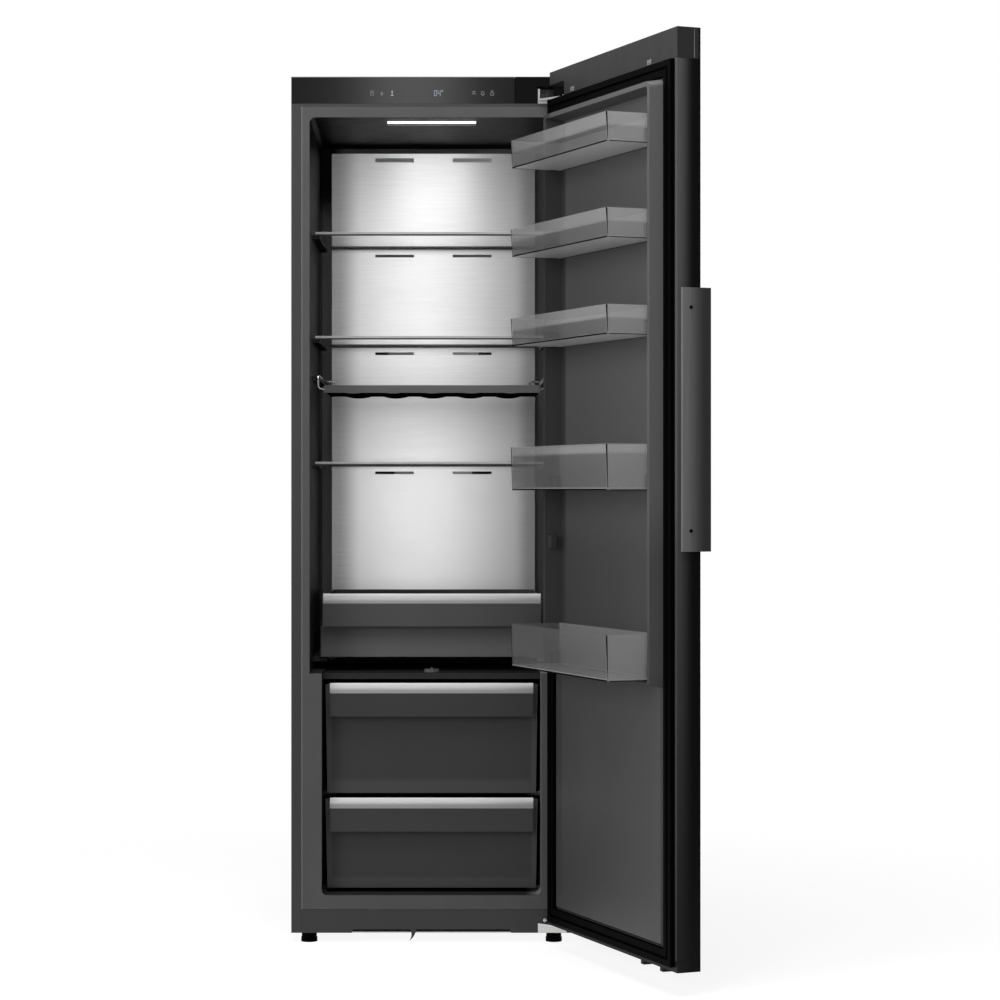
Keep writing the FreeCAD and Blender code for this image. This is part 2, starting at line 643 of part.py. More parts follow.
def base():
    """Pressed steel base with the roller brackets and the threaded seats of the front feet."""
    inside = HALF - D["steel"] - FIT
    floor = box("base_floor", mirror_pair(inside), (D["plinth_wall"] + FIT, D["cab_depth"]),
                (D["cab_bottom"], BASE_TOP))
    axle_y = ROLLER_Y
    cheek_gap = D["roller_width"] / 2 + FIT * 2
    added, removed = [floor], []
    for side, sign in (("left", -1), ("right", 1)):
        foot_x = FOOT_X * sign
        seat = cylinder(f"foot_seat_{side}", D["stud_radius"] * 2, (foot_x, D["foot_set"], BASE_TOP),
                        D["stud_radius"])
        bore = cylinder(f"foot_bore_{side}", D["stud_radius"] + D["pin_play"], (foot_x, D["foot_set"], 0),
                        D["flange_bottom"])
        wheel_x = ROLLER_X * sign
        clear = D["roller_radius"] + FIT * 4
        well = box(f"roller_well_{side}", (wheel_x - cheek_gap, wheel_x + cheek_gap),
                   (axle_y - clear, axle_y + clear), (0, D["flange_bottom"]))
        axle_bore = cylinder(f"axle_bore_{side}", D["axle_radius"] + D["pin_play"],
                             (wheel_x - D["roller_width"], axle_y, D["roller_radius"]),
                             D["roller_width"] * 2, "X")
        for end, low in (("inner", wheel_x - cheek_gap - D["roller_cheek"]), ("outer", wheel_x + cheek_gap)):
            added.append(box(f"cheek_{side}_{end}", (low, low + D["roller_cheek"]),
                             (axle_y - D["axle_radius"] * 3, axle_y + D["axle_radius"] * 3),
                             (D["roller_radius"] - D["axle_radius"] * 2.5, BASE_TOP)))
        added.append(seat)
        removed += [bore, well, axle_bore]
    return piece("base_plate", cut("base", fuse("base_solid", *added), *removed))


def plinth():
    """Front plinth with its raised lower edge, and the small hook that hangs from it."""
    half = HALF - D["lip"] - FIT
    low, high = D["cab_bottom"], D["flange_bottom"] - FIT * 2
    rise = D["plinth_rise"]
    inset = D["plinth_gap"]
    face = prism("plinth_face", "XZ_Plane", [
        (-half, low), (-inset - rise / 2, low), (-inset, low + rise), (inset, low + rise),
        (inset + rise / 2, low), (half, low), (half, high), (-half, high),
    ], D["plinth_wall"], middle=False, backwards=True)
    top = Vector(-D["hook_place"].value, 0, (low + rise).value)
    root = Vector(D["hook_width"].value / 2, 0, 0)
    tip = top - Vector(D["hook_lean"].value, 0, D["hook_drop"].value)
    bow = Vector(D["hook_bow"].value, 0, 0)
    belly = (top + tip) / 2 + bow
    sides = [(top + root, belly + root / 2, tip), (tip, belly - root / 2, top - root)]
    edges = [Part.Arc(*side).toShape() for side in sides]
    edges.append(Part.LineSegment(top - root, top + root).toShape())
    hook_face = Part.Face(Part.Wire(edges))
    depth = D["plinth_wall"].value
    hook = modelled("plinth_hook", hook_face.extrude(Vector(0, depth, 0)))
    return piece("plinth", fuse("plinth_whole", face, hook))


def top_cover(name, x, y, open_face):
    """A hollow moulding at the top of the cabinet, open on one face."""
    wall = D["cover_wall"]
    low, high = LID_Z + FIT, D["cab_height"]
    block = rounded(name + "_round", box(name + "_block", x, y, (low, high)), WALL,
                    lambda edge: edge.CenterOfMass.z > high.value - PAST
                    and (edge.CenterOfMass.y < as_size(y[0]).value + FIT.value) == (open_face == "rear"))
    if open_face == "rear":
        room = ((x[0] + wall, x[1] - wall), (as_size(y[0]) + wall, y[1] + PAST), (low + wall, high - wall))
    else:
        room = ((x[0] + wall, x[1] - wall), (as_size(y[0]) + wall, y[1] - wall), (low - PAST, high - wall))
    return cut(name, block, box(name + "_room", *room))


def top_mouldings():
    """Display panel, hinge cover beside it, the lid behind them and the control board."""
    seam = D["fascia_seam"]
    depth = (0, D["fascia_depth"])
    piece("display_panel", top_cover("fascia", (-HALF, seam - FIT), depth, "rear"))
    cover = top_cover("hinge_hood", (seam + FIT, HALF), depth, "rear")
    slot = box("hinge_slot", (HINGE_ROOT - FIT * 4, HINGE_ROOT + D["hinge_root_width"] + FIT * 4),
               (-PAST, D["fascia_depth"] + PAST), (LID_Z, HINGE_Z + D["notch_height"] - D["cover_wall"]))
    piece("hinge_cover", cut("hinge_hood_slotted", cover, slot))
    piece("top_lid", top_cover("lid", mirror_pair(HALF), (D["fascia_depth"] + FIT, D["cab_depth"]), "bottom"))
    wall = D["cover_wall"] + FIT
    board = box("board", mirror_pair(D["board_width"] / 2), (wall, wall + D["base_sheet"]),
                (LID_Z + wall + FIT, D["cab_height"] - wall))
    return piece("control_board", board)


def ceiling_lamp():
    """Long light diffuser on the ceiling of the upper compartment, with a sloping face."""
    front, drop = D["lamp_front"], D["lamp_drop"]
    top = CAVITY_TOP - FIT
    lens = prism("lamp", "YZ_Plane", [
        (front, top), (front, top - drop / 2), (front + drop / 2, top - drop),
        (front + D["lamp_depth"] - drop / 2, top - drop), (front + D["lamp_depth"], top),
    ], D["lamp_width"])
    return piece("ceiling_lamp", lens)


# Cold air system


def vent_rows():
    """Top edge and height of each row of air slots, and the share of a slot that is open behind."""
    tall, short = D["vent_head_height"], D["vent_height"]
    rows = (("vent_head", tall, 0), ("vent_upper", short, 1), ("vent_middle", short, 1 / 3),
            ("vent_lower", short, 1 / 2))
    return [(PANEL_TOP - D[name], height, share) for name, height, share in rows]


def cooling_panel():
    """Brushed steel panel in front of the cold air duct, with folded edges and rows of air slots."""
    half, sheet = PANEL_HALF, D["panel_sheet"]
    front = PANEL_Y
    rear = CAVITY_Y - FIT
    low, high = D["panel_bottom"], PANEL_TOP
    block = rounded("panel_round", box("panel_block", mirror_pair(half), (front, rear), (low, high)), WALL,
                    lambda edge: lengthwise(edge))
    tools = [box("panel_room", mirror_pair(half - sheet), (front + sheet, rear + PAST),
                 (low + sheet, high - sheet))]
    for number, (top, height, share) in enumerate(vent_rows()):
        inner, outer = D["vent_inner"], D["vent_inner"] + D["vent_length"]
        for side, x in (("left", (-outer, -inner)), ("right", (inner, outer))):
            depth = (front - PAST, front + sheet + PAST)
            tools.append(box(f"vent_{side}_{number}", x, depth, (top - height, top)))
    return piece("cooling_panel", cut("panel", block, *tools))


def air_duct():
    """Moulded duct behind the panel: a fan opening, and passages behind the air slots."""
    front = PANEL_Y + D["panel_sheet"] + FIT
    rear = front + D["duct_depth"]
    top = PANEL_TOP - D["panel_sheet"] - FIT
    block = box("duct_block", mirror_pair(D["duct_half"]), (front, rear), (FAN_Z - D["duct_foot"], top))
    tools = [cylinder("fan_opening", D["fan_radius"] + WALL, (0, front - PAST, FAN_Z),
                      D["duct_depth"] + PAST * 2, "Y")]
    for number, (level, height, share) in enumerate(vent_rows()):
        if share == 0:
            continue
        outer = D["vent_inner"] + D["vent_length"]
        inner = outer - D["vent_length"] * share
        for side, x in (("left", (-outer, -inner)), ("right", (inner, outer))):
            depth = (front - PAST, rear + PAST)
            tools.append(box(f"passage_{side}_{number}", x, depth, (level - height, level)))
    return piece("air_duct", cut("duct", block, *tools))


def evaporator():
    """Cold coil: one tube bent to and fro through a row of upright fins."""
    half, pitch = D["coil_half"].value, D["coil_pitch"].value
    rear = (CAVITY_Y - FIT).value
    depth = D["coil_fin"].value
    y = rear - depth / 2
    low = (D["panel_bottom"] + D["coil_foot"]).value
    points = []
    for number in range(COIL_RUNS):
        ends = (-half, half) if number % 2 == 0 else (half, -half)
        points += [Vector(end, y, low + (number + 0.5) * pitch) for end in ends]
    coil = tube(points, D["coil_tube"].value, pitch / 2 - FIT.value)
    spread = half * 2 - pitch * 2
    fins = []
    for number in range(FIN_COUNT):
        x = spread * (number / (FIN_COUNT - 1) - 0.5)
        fins.append(Part.makeBox(FIT.value * 2, depth, pitch * COIL_RUNS, Vector(x, rear - depth, low)))
    return piece("evaporator", modelled("coil", coil.fuse(fins).removeSplitter()))


def fan():
    """Fan behind the duct opening: a motor on the rear wall, and a wheel on its shaft."""
    level = FAN_Z
    rear = CAVITY_Y - FIT
    front = PANEL_Y + D["panel_sheet"] + FIT + D["duct_depth"] + FIT * 2
    wheel_rear = front + D["fan_width"]
    can = cylinder("motor_can", D["fan_hub"], (0, wheel_rear + FIT, level), rear - wheel_rear - FIT, "Y")
    shaft = cylinder("motor_shaft", D["fan_shaft"], (0, front + FIT, level), rear - front - FIT, "Y")
    piece("fan_motor", fuse("motor", can, shaft))
    hub, tip, width = D["fan_hub"].value, D["fan_radius"].value, D["fan_width"].value
    chord = width / math.sin(math.radians(FAN_PITCH))
    blade = Part.makeBox(tip, chord, FIT.value * 4, Vector(0, -chord / 2, 0))
    blade.rotate(Vector(), Vector(1, 0, 0), FAN_PITCH)
    blade.translate(Vector(0, 0, width / 2))
    blades = [blade.rotated(Vector(), Vector(0, 0, 1), 360 / BLADES * number) for number in range(BLADES)]
    wheel = flat_turned([(hub, 0), (hub, width)]).fuse(blades).common(flat_turned([(tip, 0), (tip, width)]))
    bore = Part.makeCylinder((D["fan_shaft"] + D["pin_play"]).value, width + PAST * 2, Vector(0, 0, -PAST))
    wheel = wheel.cut(bore).removeSplitter()
    wheel_piece = modelled("wheel", wheel)
    place(wheel_piece, 0, front, level, Rotation(Vector(1, 0, 0), -90))
    return piece("fan_wheel", wheel_piece)


def compressor():
    """Compressor on rubber feet, with the drip tray on its lid and the pipes that leave it."""
    x, y = D["compressor_place"], D["cab_depth"] - D["compressor_set"]
    radius, height = D["compressor_radius"], D["compressor_height"]
    plate_z = BASE_TOP + D["grommet_height"]
    plate = D["base_sheet"] * 1.5
    neck = radius / 6
    can = modelled("compressor_can", flat_turned([(across.value, up.value) for across, up in (
        (radius - neck, FIT), (radius, neck), (radius, height - neck * 3), (radius - neck, height - neck),
        (radius / 2, height),
    )]))
    place(can, x, y, plate_z)
    foot_half = D["grommet_pitch"] / 2
    ear = foot_half + D["grommet_radius"]
    bed = box("compressor_bed", (x - ear, x + ear), (y - ear, y + ear), (plate_z, plate_z + plate))
    piece("compressor", fuse("compressor_whole", can, bed))
    feet = []
    grommet = D["grommet_radius"].value
    for sign_x, sign_y in ((-1, -1), (1, -1), (-1, 1), (1, 1)):
        foot = flat_turned([(grommet, 0), (grommet, D["grommet_height"].value)])
        foot.translate(Vector((x + foot_half * sign_x).value, (y + foot_half * sign_y).value, BASE_TOP.value))
        feet.append(foot)
    piece("compressor_feet", modelled("grommets", Part.makeCompound(feet)))
    tray_z = plate_z + height + FIT
    half_x, half_y = D["drip_width"] / 2, D["drip_depth"] / 2
    span_x, span_y = (x - half_x, x + half_x), (y - half_y, y + half_y)
    span_z = (tray_z, tray_z + D["drip_height"])
    lean = (WALL,) * 4
    outer = tub_form("drip_outer", span_x, span_y, span_z, lean)
    inner = tub_form("drip_inner", (span_x[0] + WALL, span_x[1] - WALL), (span_y[0] + WALL, span_y[1] - WALL),
                     (tray_z + WALL, span_z[1] + PAST), lean)
    piece("drip_tray", cut("drip", outer, inner))
    pipe = D["pipe_radius"].value
    away = (radius + FIT).value
    level = (plate_z + height / 2).value
    ceiling = (D["machine_top"] - FIT).value
    bend = pipe * 4
    pipes = []
    for sign, rise in ((-1, 0), (1, bend)):
        start = Vector(x.value + sign * away, y.value, level + rise)
        corner = Vector(x.value + sign * (away + bend * 2), y.value, level + rise)
        pipes.append(tube([start, corner, Vector(corner.x, corner.y, ceiling)], pipe, bend))
    return piece("refrigerant_pipes", modelled("pipes", Part.makeCompound(pipes)))


def mains_gland():
    """Tapered gland for the mains lead, on the front wall of the compressor space."""
    length, bore, flange = D["gland_length"].value, D["gland_bore"].value, D["gland_radius"].value
    wall = WALL.value
    outer = flat_turned([(flange, 0), (flange, wall), (flange - wall, wall), (bore + wall, length)])
    room = Part.makeCylinder(bore, length + PAST * 2, Vector(0, 0, -PAST))
    gland = modelled("gland", outer.cut(room))
    place(gland, D["gland_side"] - HALF, MACHINE_Y + FIT, D["gland_level"], Rotation(Vector(1, 0, 0), -90))
    return piece("mains_gland", gland)


# Feet and rollers


def front_foot(side, sign):
    """Screw foot: a ribbed pad on a threaded stud."""
    radius, height, stud = D["foot_radius"], D["foot_height"], D["stud_radius"]
    step = WALL / 2
    pad = modelled(f"foot_pad_{side}", flat_turned([(across.value, up.value) for across, up in (
        (radius, height * 0), (radius, height / 2), (radius - step, height / 2), (radius - step, height),
    )]))
    x = FOOT_X * sign
    place(pad, x, D["foot_set"], 0)
    thread = cylinder(f"foot_stud_{side}", stud, (x, D["foot_set"], height - FIT), D["stud_length"] + FIT)
    return piece(f"front_foot_{side}", fuse(f"foot_{side}", pad, thread))


def rear_roller(side, sign):
    radius, width, bore = D["roller_radius"], D["roller_width"], D["axle_radius"] + D["pin_play"]
    roller = turned(f"roller_{side}", [(bore, 0), (radius, 0), (radius, width), (bore, width)])
    place(roller, ROLLER_X * sign - width / 2, ROLLER_Y, radius, Rotation(Vector(0, 1, 0), 90))
    return piece(f"rear_roller_{side}", roller)


def roller_axles():
    half = D["roller_width"] / 2 + FIT * 2 + D["roller_cheek"]
    axles = doc.addObject("Part::Compound", "axles")
    axles.Links = [cylinder(f"axle_{side}", D["axle_radius"],
                            (ROLLER_X * sign - half, ROLLER_Y, D["roller_radius"]), half * 2, "X")
                   for side, sign in (("left", -1), ("right", 1))]
    return piece("roller_axles", axles)


# Shelves, tray and drawers


def shelf(place_name):
    """Glass shelf with a bright front edge and a dark rear edge."""
    level = SHELF_Z[place_name]
    front, rear = D["shelf_front"], SHELF_Y
    glass, trim, depth = D["shelf_glass"], D["shelf_trim"], D["shelf_trim_depth"]
    pane = box(f"glass_{place_name}", mirror_pair(SHELF_HALF - FIT), (front + WALL, rear - WALL),
               (level - glass / 2, level + glass / 2))
    piece(f"shelf_glass_{place_name}", pane)
    inside = SHELF_HALF - D["rib_width"]
    trims = []
    ends = (("front", (front, front + depth), SHELF_HALF), ("rear", (rear - depth, rear), inside))
    for end, y, half in ends:
        name = f"trim_{end}_{place_name}"
        block = box(name, mirror_pair(half), y, (level - trim / 2, level + trim / 2))
        bar = rounded(name + "_round", block, glass / 4, lambda edge: runs(edge, Vector(1, 0, 0)))
        slot = box(name + "_slot", mirror_pair(SHELF_HALF + PAST), (front + WALL - FIT, rear - WALL + FIT),
                   (level - glass / 2 - FIT / 2, level + glass / 2 + FIT / 2))
        trims.append(cut(name + "_slotted", bar, slot))
    both = doc.addObject("Part::Compound", f"trims_{place_name}")
    both.Links = trims
    return piece(f"shelf_trim_{place_name}", both)


def bottle_tray():
    """Tray with bottle troughs, hung from a pair of bent steel wires that rest on the wall ribs."""
    top, strip = TRAY_Z.value, D["tray_strip"].value
    front = D["tray_front"].value
    depth = (PANEL_Y - D["tray_back"]).value - front
    half, sheet = (CAVITY_HALF - D["tray_side"]).value, D["tray_sheet"].value
    pitch, drop = D["trough_pitch"].value, D["trough_drop"].value
    level = top - strip + sheet * 2
    trough_half = pitch / 3

    def profile(height):
        """Flats and troughs across the tray, from left to right."""
        line = []
        x = -half
        for number in range(-2, 3):
            left, right = number * pitch - trough_half, number * pitch + trough_half
            line.append(Part.LineSegment(Vector(x, front, height), Vector(left, front, height)).toShape())
            line.append(Part.Arc(Vector(left, front, height), Vector(number * pitch, front, height - drop),
                                 Vector(right, front, height)).toShape())
            x = right
        line.append(Part.LineSegment(Vector(x, front, height), Vector(half, front, height)).toShape())
        return line

    edges = profile(level) + profile(level - sheet)
    for x in (-half, half):
        edges.append(Part.LineSegment(Vector(x, front, level - sheet), Vector(x, front, level)).toShape())
    sheet_shape = Part.Face(Part.Wire(Part.__sortEdges__(edges))).extrude(Vector(0, depth, 0))
    strip_shape = Part.makeBox(half * 2, sheet, strip, Vector(-half, front, top - strip))
    back_foot = level - sheet
    back_corner = Vector(-half, front + depth - sheet, back_foot)
    back_shape = Part.makeBox(half * 2, sheet, top - back_foot, back_corner)
    piece("bottle_tray", modelled("tray", sheet_shape.fuse([strip_shape, back_shape]).removeSplitter()))
    rail, wire_x = WIRE_Z.value, (CAVITY_HALF - D["wire_side"]).value
    radius, bend = D["wire_radius"].value, D["wire_bend"].value
    gap = FIT.value
    low = top - strip / 2
    wires = []
    for sign in (-1, 1):
        near = front + radius
        far = front + depth - radius
        hung = wire_x - bend * 3
        wires.append(tube([
            Vector(sign * (half + gap), near, low), Vector(sign * wire_x, near, low),
            Vector(sign * wire_x, near, rail), Vector(sign * wire_x, far, rail),
            Vector(sign * hung, far, rail), Vector(sign * hung, far, top + gap),
        ], radius, bend))
    return piece("tray_wires", modelled("wires", Part.makeCompound(wires)))


def drawer_pull(name, label, half, front, top):
    """Hollow pull across a drawer front: a bowed top, an upright face and closed ends, open below."""
    wall, bow = D["hood_wall"].value, D["hood_bow"].value
    face, back = (front - D["hood_out"]).value, (front - FIT).value
    low, high = (top - D["hood_height"]).value, top.value

    def section(side, inset, rear, foot):
        """The pull's section at one side, drawn in from its face and its top."""
        lower = Vector(side, face + inset, high - D["hood_bevel"].value - inset / 2)
        upper = Vector(side, face + D["hood_slope"].value + inset / 2, high - inset)
        chord = upper - lower
        crown = (lower + upper) / 2 + Vector(0, -chord.z, chord.y).normalize() * bow
        corners = [upper, Vector(side, rear, upper.z), Vector(side, rear, foot), Vector(side, lower.y, foot),
                   lower]
        edges = [Part.Arc(lower, crown, upper).toShape()]
        edges += [Part.LineSegment(start, end).toShape() for start, end in zip(corners, corners[1:])]
        return Part.Face(Part.Wire(edges))

    left = -half.value
    outer = section(left, 0, back, low).extrude(Vector(-left * 2, 0, 0))
    room = section(left + wall, wall, back + PAST, low - PAST).extrude(Vector((-left - wall) * 2, 0, 0))
    return piece(label, modelled(name, outer.cut(room)))


def tub(name, x, y, z, lean, corner):
    """Open tub with rounded corners and walls that lean out."""
    outer = rounded(name + "_outer", tub_form(name + "_form", x, y, z, lean), corner, upright)
    x_in, y_in = (x[0] + WALL, x[1] - WALL), (y[0] + WALL, y[1] - WALL)
    inner = rounded(name + "_inner", tub_form(name + "_core", x_in, y_in, (z[0] + WALL, z[1] + PAST), lean),
                    corner - WALL, upright)
    return cut(name, outer, inner)


def salad_drawer(place_name):
    """Salad drawer: a tub with a broad front face that rests on the wall rails, and its pull."""
    low, high = D[f"drawer_{place_name}_bottom"], D[f"drawer_{place_name}_top"]
    rim = high - D["hood_wall"]
    front = D["drawer_front"]
    half, face_half = LOWER_HALF - D["drawer_side"], LOWER_HALF - D["drawer_face_side"]
    draft = D["drawer_draft"]
    form = tub(f"drawer_{place_name}", mirror_pair(half - draft), (front, LOWER_Y - D["drawer_back"] - draft),
               (low, rim), (draft, draft, 0, draft), D["tub_round"])
    face = tub_form(f"drawer_face_{place_name}", mirror_pair(face_half - draft), (front, front + WALL),
                    (low, rim), (draft, draft, 0, 0))
    face = rounded(f"drawer_face_round_{place_name}", face, WALL / 2.5, upright)
    piece(f"salad_drawer_{place_name}", fuse(f"drawer_whole_{place_name}", form, face))
    pull_half = LOWER_HALF - D["drawer_hood_side"]
    return drawer_pull(f"pull_{place_name}", f"drawer_pull_{place_name}", pull_half, front, high)


def chill_box():
    """Chill box: a tub with a broad front panel, its pull, and the runners that carry it."""
    low, high = D["box_bottom"], D["box_top"]
    front = D["box_front"]
    half = CAVITY_HALF - D["box_tub_side"]
    tub_front = front + D["hood_out"]
    rear = PANEL_Y - D["box_back"]
    form = tub("box_tub", mirror_pair(half - WALL), (tub_front, rear - WALL), (low, high - D["hood_wall"]),
               (WALL, WALL, 0, WALL), D["tub_round"])
    panel_half = CAVITY_HALF - D["box_side"]
    panel = box("box_panel", mirror_pair(panel_half), (tub_front - D["box_panel"], tub_front + WALL),
                (low, high - D["hood_height"] - FIT))
    panel = rounded("box_panel_round", panel, WALL, upright)
    piece("chill_box", fuse("box_whole", form, panel))
    runner_top = low - FIT
    wall_x = CAVITY_HALF - FIT
    runners = []
    width, height = D["runner_width"], D["runner_height"]
    for side, x in (("left", (-wall_x, width - wall_x)), ("right", (wall_x - width, wall_x))):
        runners.append(box(f"runner_{side}", x, (tub_front, rear), (runner_top - height, runner_top)))
    pair = doc.addObject("Part::Compound", "runners")
    pair.Links = runners
    piece("chill_box_runners", pair)
    return drawer_pull("pull_box", "chill_box_pull", CAVITY_HALF - D["box_hood_side"], tub_front, high)


def drawer_cover():
    """Cover over the salad drawers with a deeper front edge, and the air knob on it."""
    half = LOWER_HALF - FIT * 2
    front = D["drawer_lid_front"]
    edge, sheet = D["drawer_lid_edge"], D["drawer_lid"]
    rear = LOWER_Y - FIT
    cover = prism("lid_form", "YZ_Plane", [
        (front, COVER_TOP - edge), (front + sheet, COVER_TOP - edge), (front + sheet, COVER_TOP - sheet),
        (rear, COVER_TOP - sheet), (rear, COVER_TOP), (front, COVER_TOP),
    ], half * 2)
    bore = cylinder("knob_bore", D["knob_pin"] + D["pin_play"], (0, D["knob_place"], 0), D["cavity_floor"])
    piece("drawer_cover", cut("cover_bored", cover, bore))
    radius, height, pin = D["knob_radius"], D["knob_height"], D["knob_pin"]
    step = WALL / 2
    dial = modelled("knob_dial", flat_turned([(across.value, up.value) for across, up in (
        (radius, FIT), (radius, height / 2), (radius - step, height / 2), (radius - step, height / 2 + step),
    )]))
    place(dial, 0, D["knob_place"], COVER_TOP)
    spindle = cylinder("knob_spindle", pin, (0, D["knob_place"], COVER_TOP - sheet), sheet + FIT * 2)
    reach = radius - step
    grip = box("knob_grip", mirror_pair(pin / 2), (D["knob_place"] - reach, D["knob_place"] + reach),
               (COVER_TOP + height / 2, COVER_TOP + height))
    return piece("air_knob", fuse("knob", dial, spindle, grip))


# Hinges


def hinge_arm(name, low, root_y):
    """Flat arm from the cabinet to the hinge axis, with a rounded end."""
    root, width = HINGE_ROOT, D["hinge_root_width"]
    boss = D["hinge_boss"]
    reach = boss * math.sqrt(0.5)
    plate = D["hinge_plate"]
    arm = prism(name + "_arm", "XY_Plane", [
        (root, root_y), (root, INNER_Y / 5), (HINGE_X - reach, HINGE_Y - reach),
        (HINGE_X + reach, HINGE_Y + reach),
        (root + width, INNER_Y / 5), (root + width, root_y),
    ], plate, low, middle=False)
    end = cylinder(name + "_end", boss, (HINGE_X, HINGE_Y, low), plate)
    return arm, end


def hinges():
    """Top hinge with its upright rib and web in the slot of the cover, and the bottom hinge with its foot."""
    low, plate, rear = HINGE_Z, D["hinge_plate"], D["fascia_depth"] - FIT
    rise = (low, low + D["notch_height"] - plate * 2)
    root = (HINGE_ROOT, HINGE_ROOT + D["hinge_root_width"])
    arm, end = hinge_arm("top_hinge", low, rear)
    rib = box("top_hinge_rib", (HINGE_ROOT, HINGE_ROOT + plate), (INNER_Y / 2, rear), rise)
    seat = box("top_hinge_seat", root, (FIT, rear), (LID_Z + FIT, low))
    web = box("top_hinge_web", root, (D["hinge_web"], D["hinge_web"] + plate), rise)
    pin = cylinder("top_hinge_pin", D["pin_radius"], (HINGE_X, HINGE_Y, low), D["pin_length"] + plate)
    piece("top_hinge", fuse("top_hinge", arm, end, rib, seat, web, pin))
    low = D["hinge_low"]
    arm, end = hinge_arm("low_hinge", low, -FIT)
    foot = box("low_hinge_foot", (HINGE_ROOT, HALF - D["lip"] / 2), (-plate - FIT, -FIT),
               (low + plate - D["hinge_foot"], low + plate))
    pin = cylinder("low_hinge_pin", D["pin_radius"], (HINGE_X, HINGE_Y, low), D["pin_low"])
    return piece("bottom_hinge", fuse("low_hinge", arm, end, foot, pin))


# Door, modelled shut and then swung open


def door_shell():
    """Front panel, the bent steel frame behind it, the foam, and the moulded top and bottom caps."""
    half, sheet = DOOR_HALF, D["door_sheet"]
    panel = box("door_face", mirror_pair(half), (OUTER_Y, OUTER_Y + D["door_panel"]),
                (D["door_bottom"], D["cab_height"]))
    hang("door_front_panel", rounded("door_face_round", panel, sheet, lambda edge: (
        upright(edge) and edge.CenterOfMass.y < OUTER_Y.value + FIT.value)))
    low, high = FOOT_CAP_Z + FIT, CAP_Z - FIT
    lip_y = INNER_Y - WALL - FIT * 2
    fold = half - D["door_lip"]
    right = [(half - sheet, FRAME_Y + sheet), (half - sheet, lip_y - sheet), (fold, lip_y - sheet),
             (fold, lip_y), (half - sheet, lip_y), (half - sheet, INNER_Y), (half, INNER_Y), (half, FRAME_Y)]
    left = [(-x, y) for x, y in reversed(right)]
    frame = prism("door_frame_form", "XY_Plane", right + left, high - low, low, middle=False)
    hang("door_frame", frame)
    foam = box("door_foam_block", mirror_pair(half - sheet - FIT), (FRAME_Y + sheet + FIT, lip_y - sheet - FIT),
               (low, high))
    hang("door_foam", rounded("door_foam_round", foam, sheet, upright))
    cap = box("cap_block", mirror_pair(half), (FRAME_Y, INNER_Y), (CAP_Z, D["cab_height"]))
    wall, notch_x = D["cover_wall"], half - D["notch_length"]
    notch = box("cap_notch", (notch_x, half + PAST), (FRAME_Y - PAST, INNER_Y + PAST),
                (CAP_Z - PAST, CAP_Z + D["notch_height"]))
    room = box("cap_room", (wall - half, notch_x - wall), (FRAME_Y + wall, INNER_Y - wall),
               (CAP_Z - PAST, D["cab_height"] - wall))
    bore = cylinder("cap_bore", D["pin_radius"] + D["pin_play"], (HINGE_X, HINGE_Y, CAP_Z),
                    HINGE_Z + D["hinge_plate"] + D["pin_length"] + FIT - CAP_Z)
    hang("door_top_cap", cut("cap", cap, notch, room, bore))
    foot = box("foot_block", mirror_pair(half), (FRAME_Y, INNER_Y), (D["door_bottom"], FOOT_CAP_Z))
    bore = cylinder("foot_bore", D["pin_radius"] + D["pin_play"], (HINGE_X, HINGE_Y, 0),
                    D["hinge_low"] + D["pin_low"] + FIT)
    nubs = []
    for name, middle in (("nub", D["door_nub_place"]), ("stop", D["door_stop_place"])):
        reach = D["door_nub_width"] / 2
        block = box(f"door_{name}", (-middle - reach, reach - middle), (FRAME_Y + wall, INNER_Y - wall),
                    (D["door_bottom"] - D["door_nub"], D["door_bottom"] + FIT))
        nubs.append(rounded(f"door_{name}_round", block, wall, upright))
    return hang("door_bottom_cap", fuse("foot_cap_whole", cut("foot_cap", foot, bore), *nubs))


def bin_levels():
    """Name, foot and height of each door bin, from the top."""
    short, tall = D["bin_short"], D["bin_tall"]
    top = D["cab_height"]
    return [("top", top - D["bin_head"], short), ("second", top - D["bin_second"], short),
            ("third", top - D["bin_third"], short), ("fourth", D["bin_fourth"], tall),
            ("bottom", D["bin_last"], tall)]


def boss_span(play):
    """Where a bin boss lies between the door's inner face and the room, with clearance."""
    middle = INNER_Y + D["boss_place"]
    return (middle - D["boss_width"] / 2 - play, middle + D["boss_width"] / 2 + play)


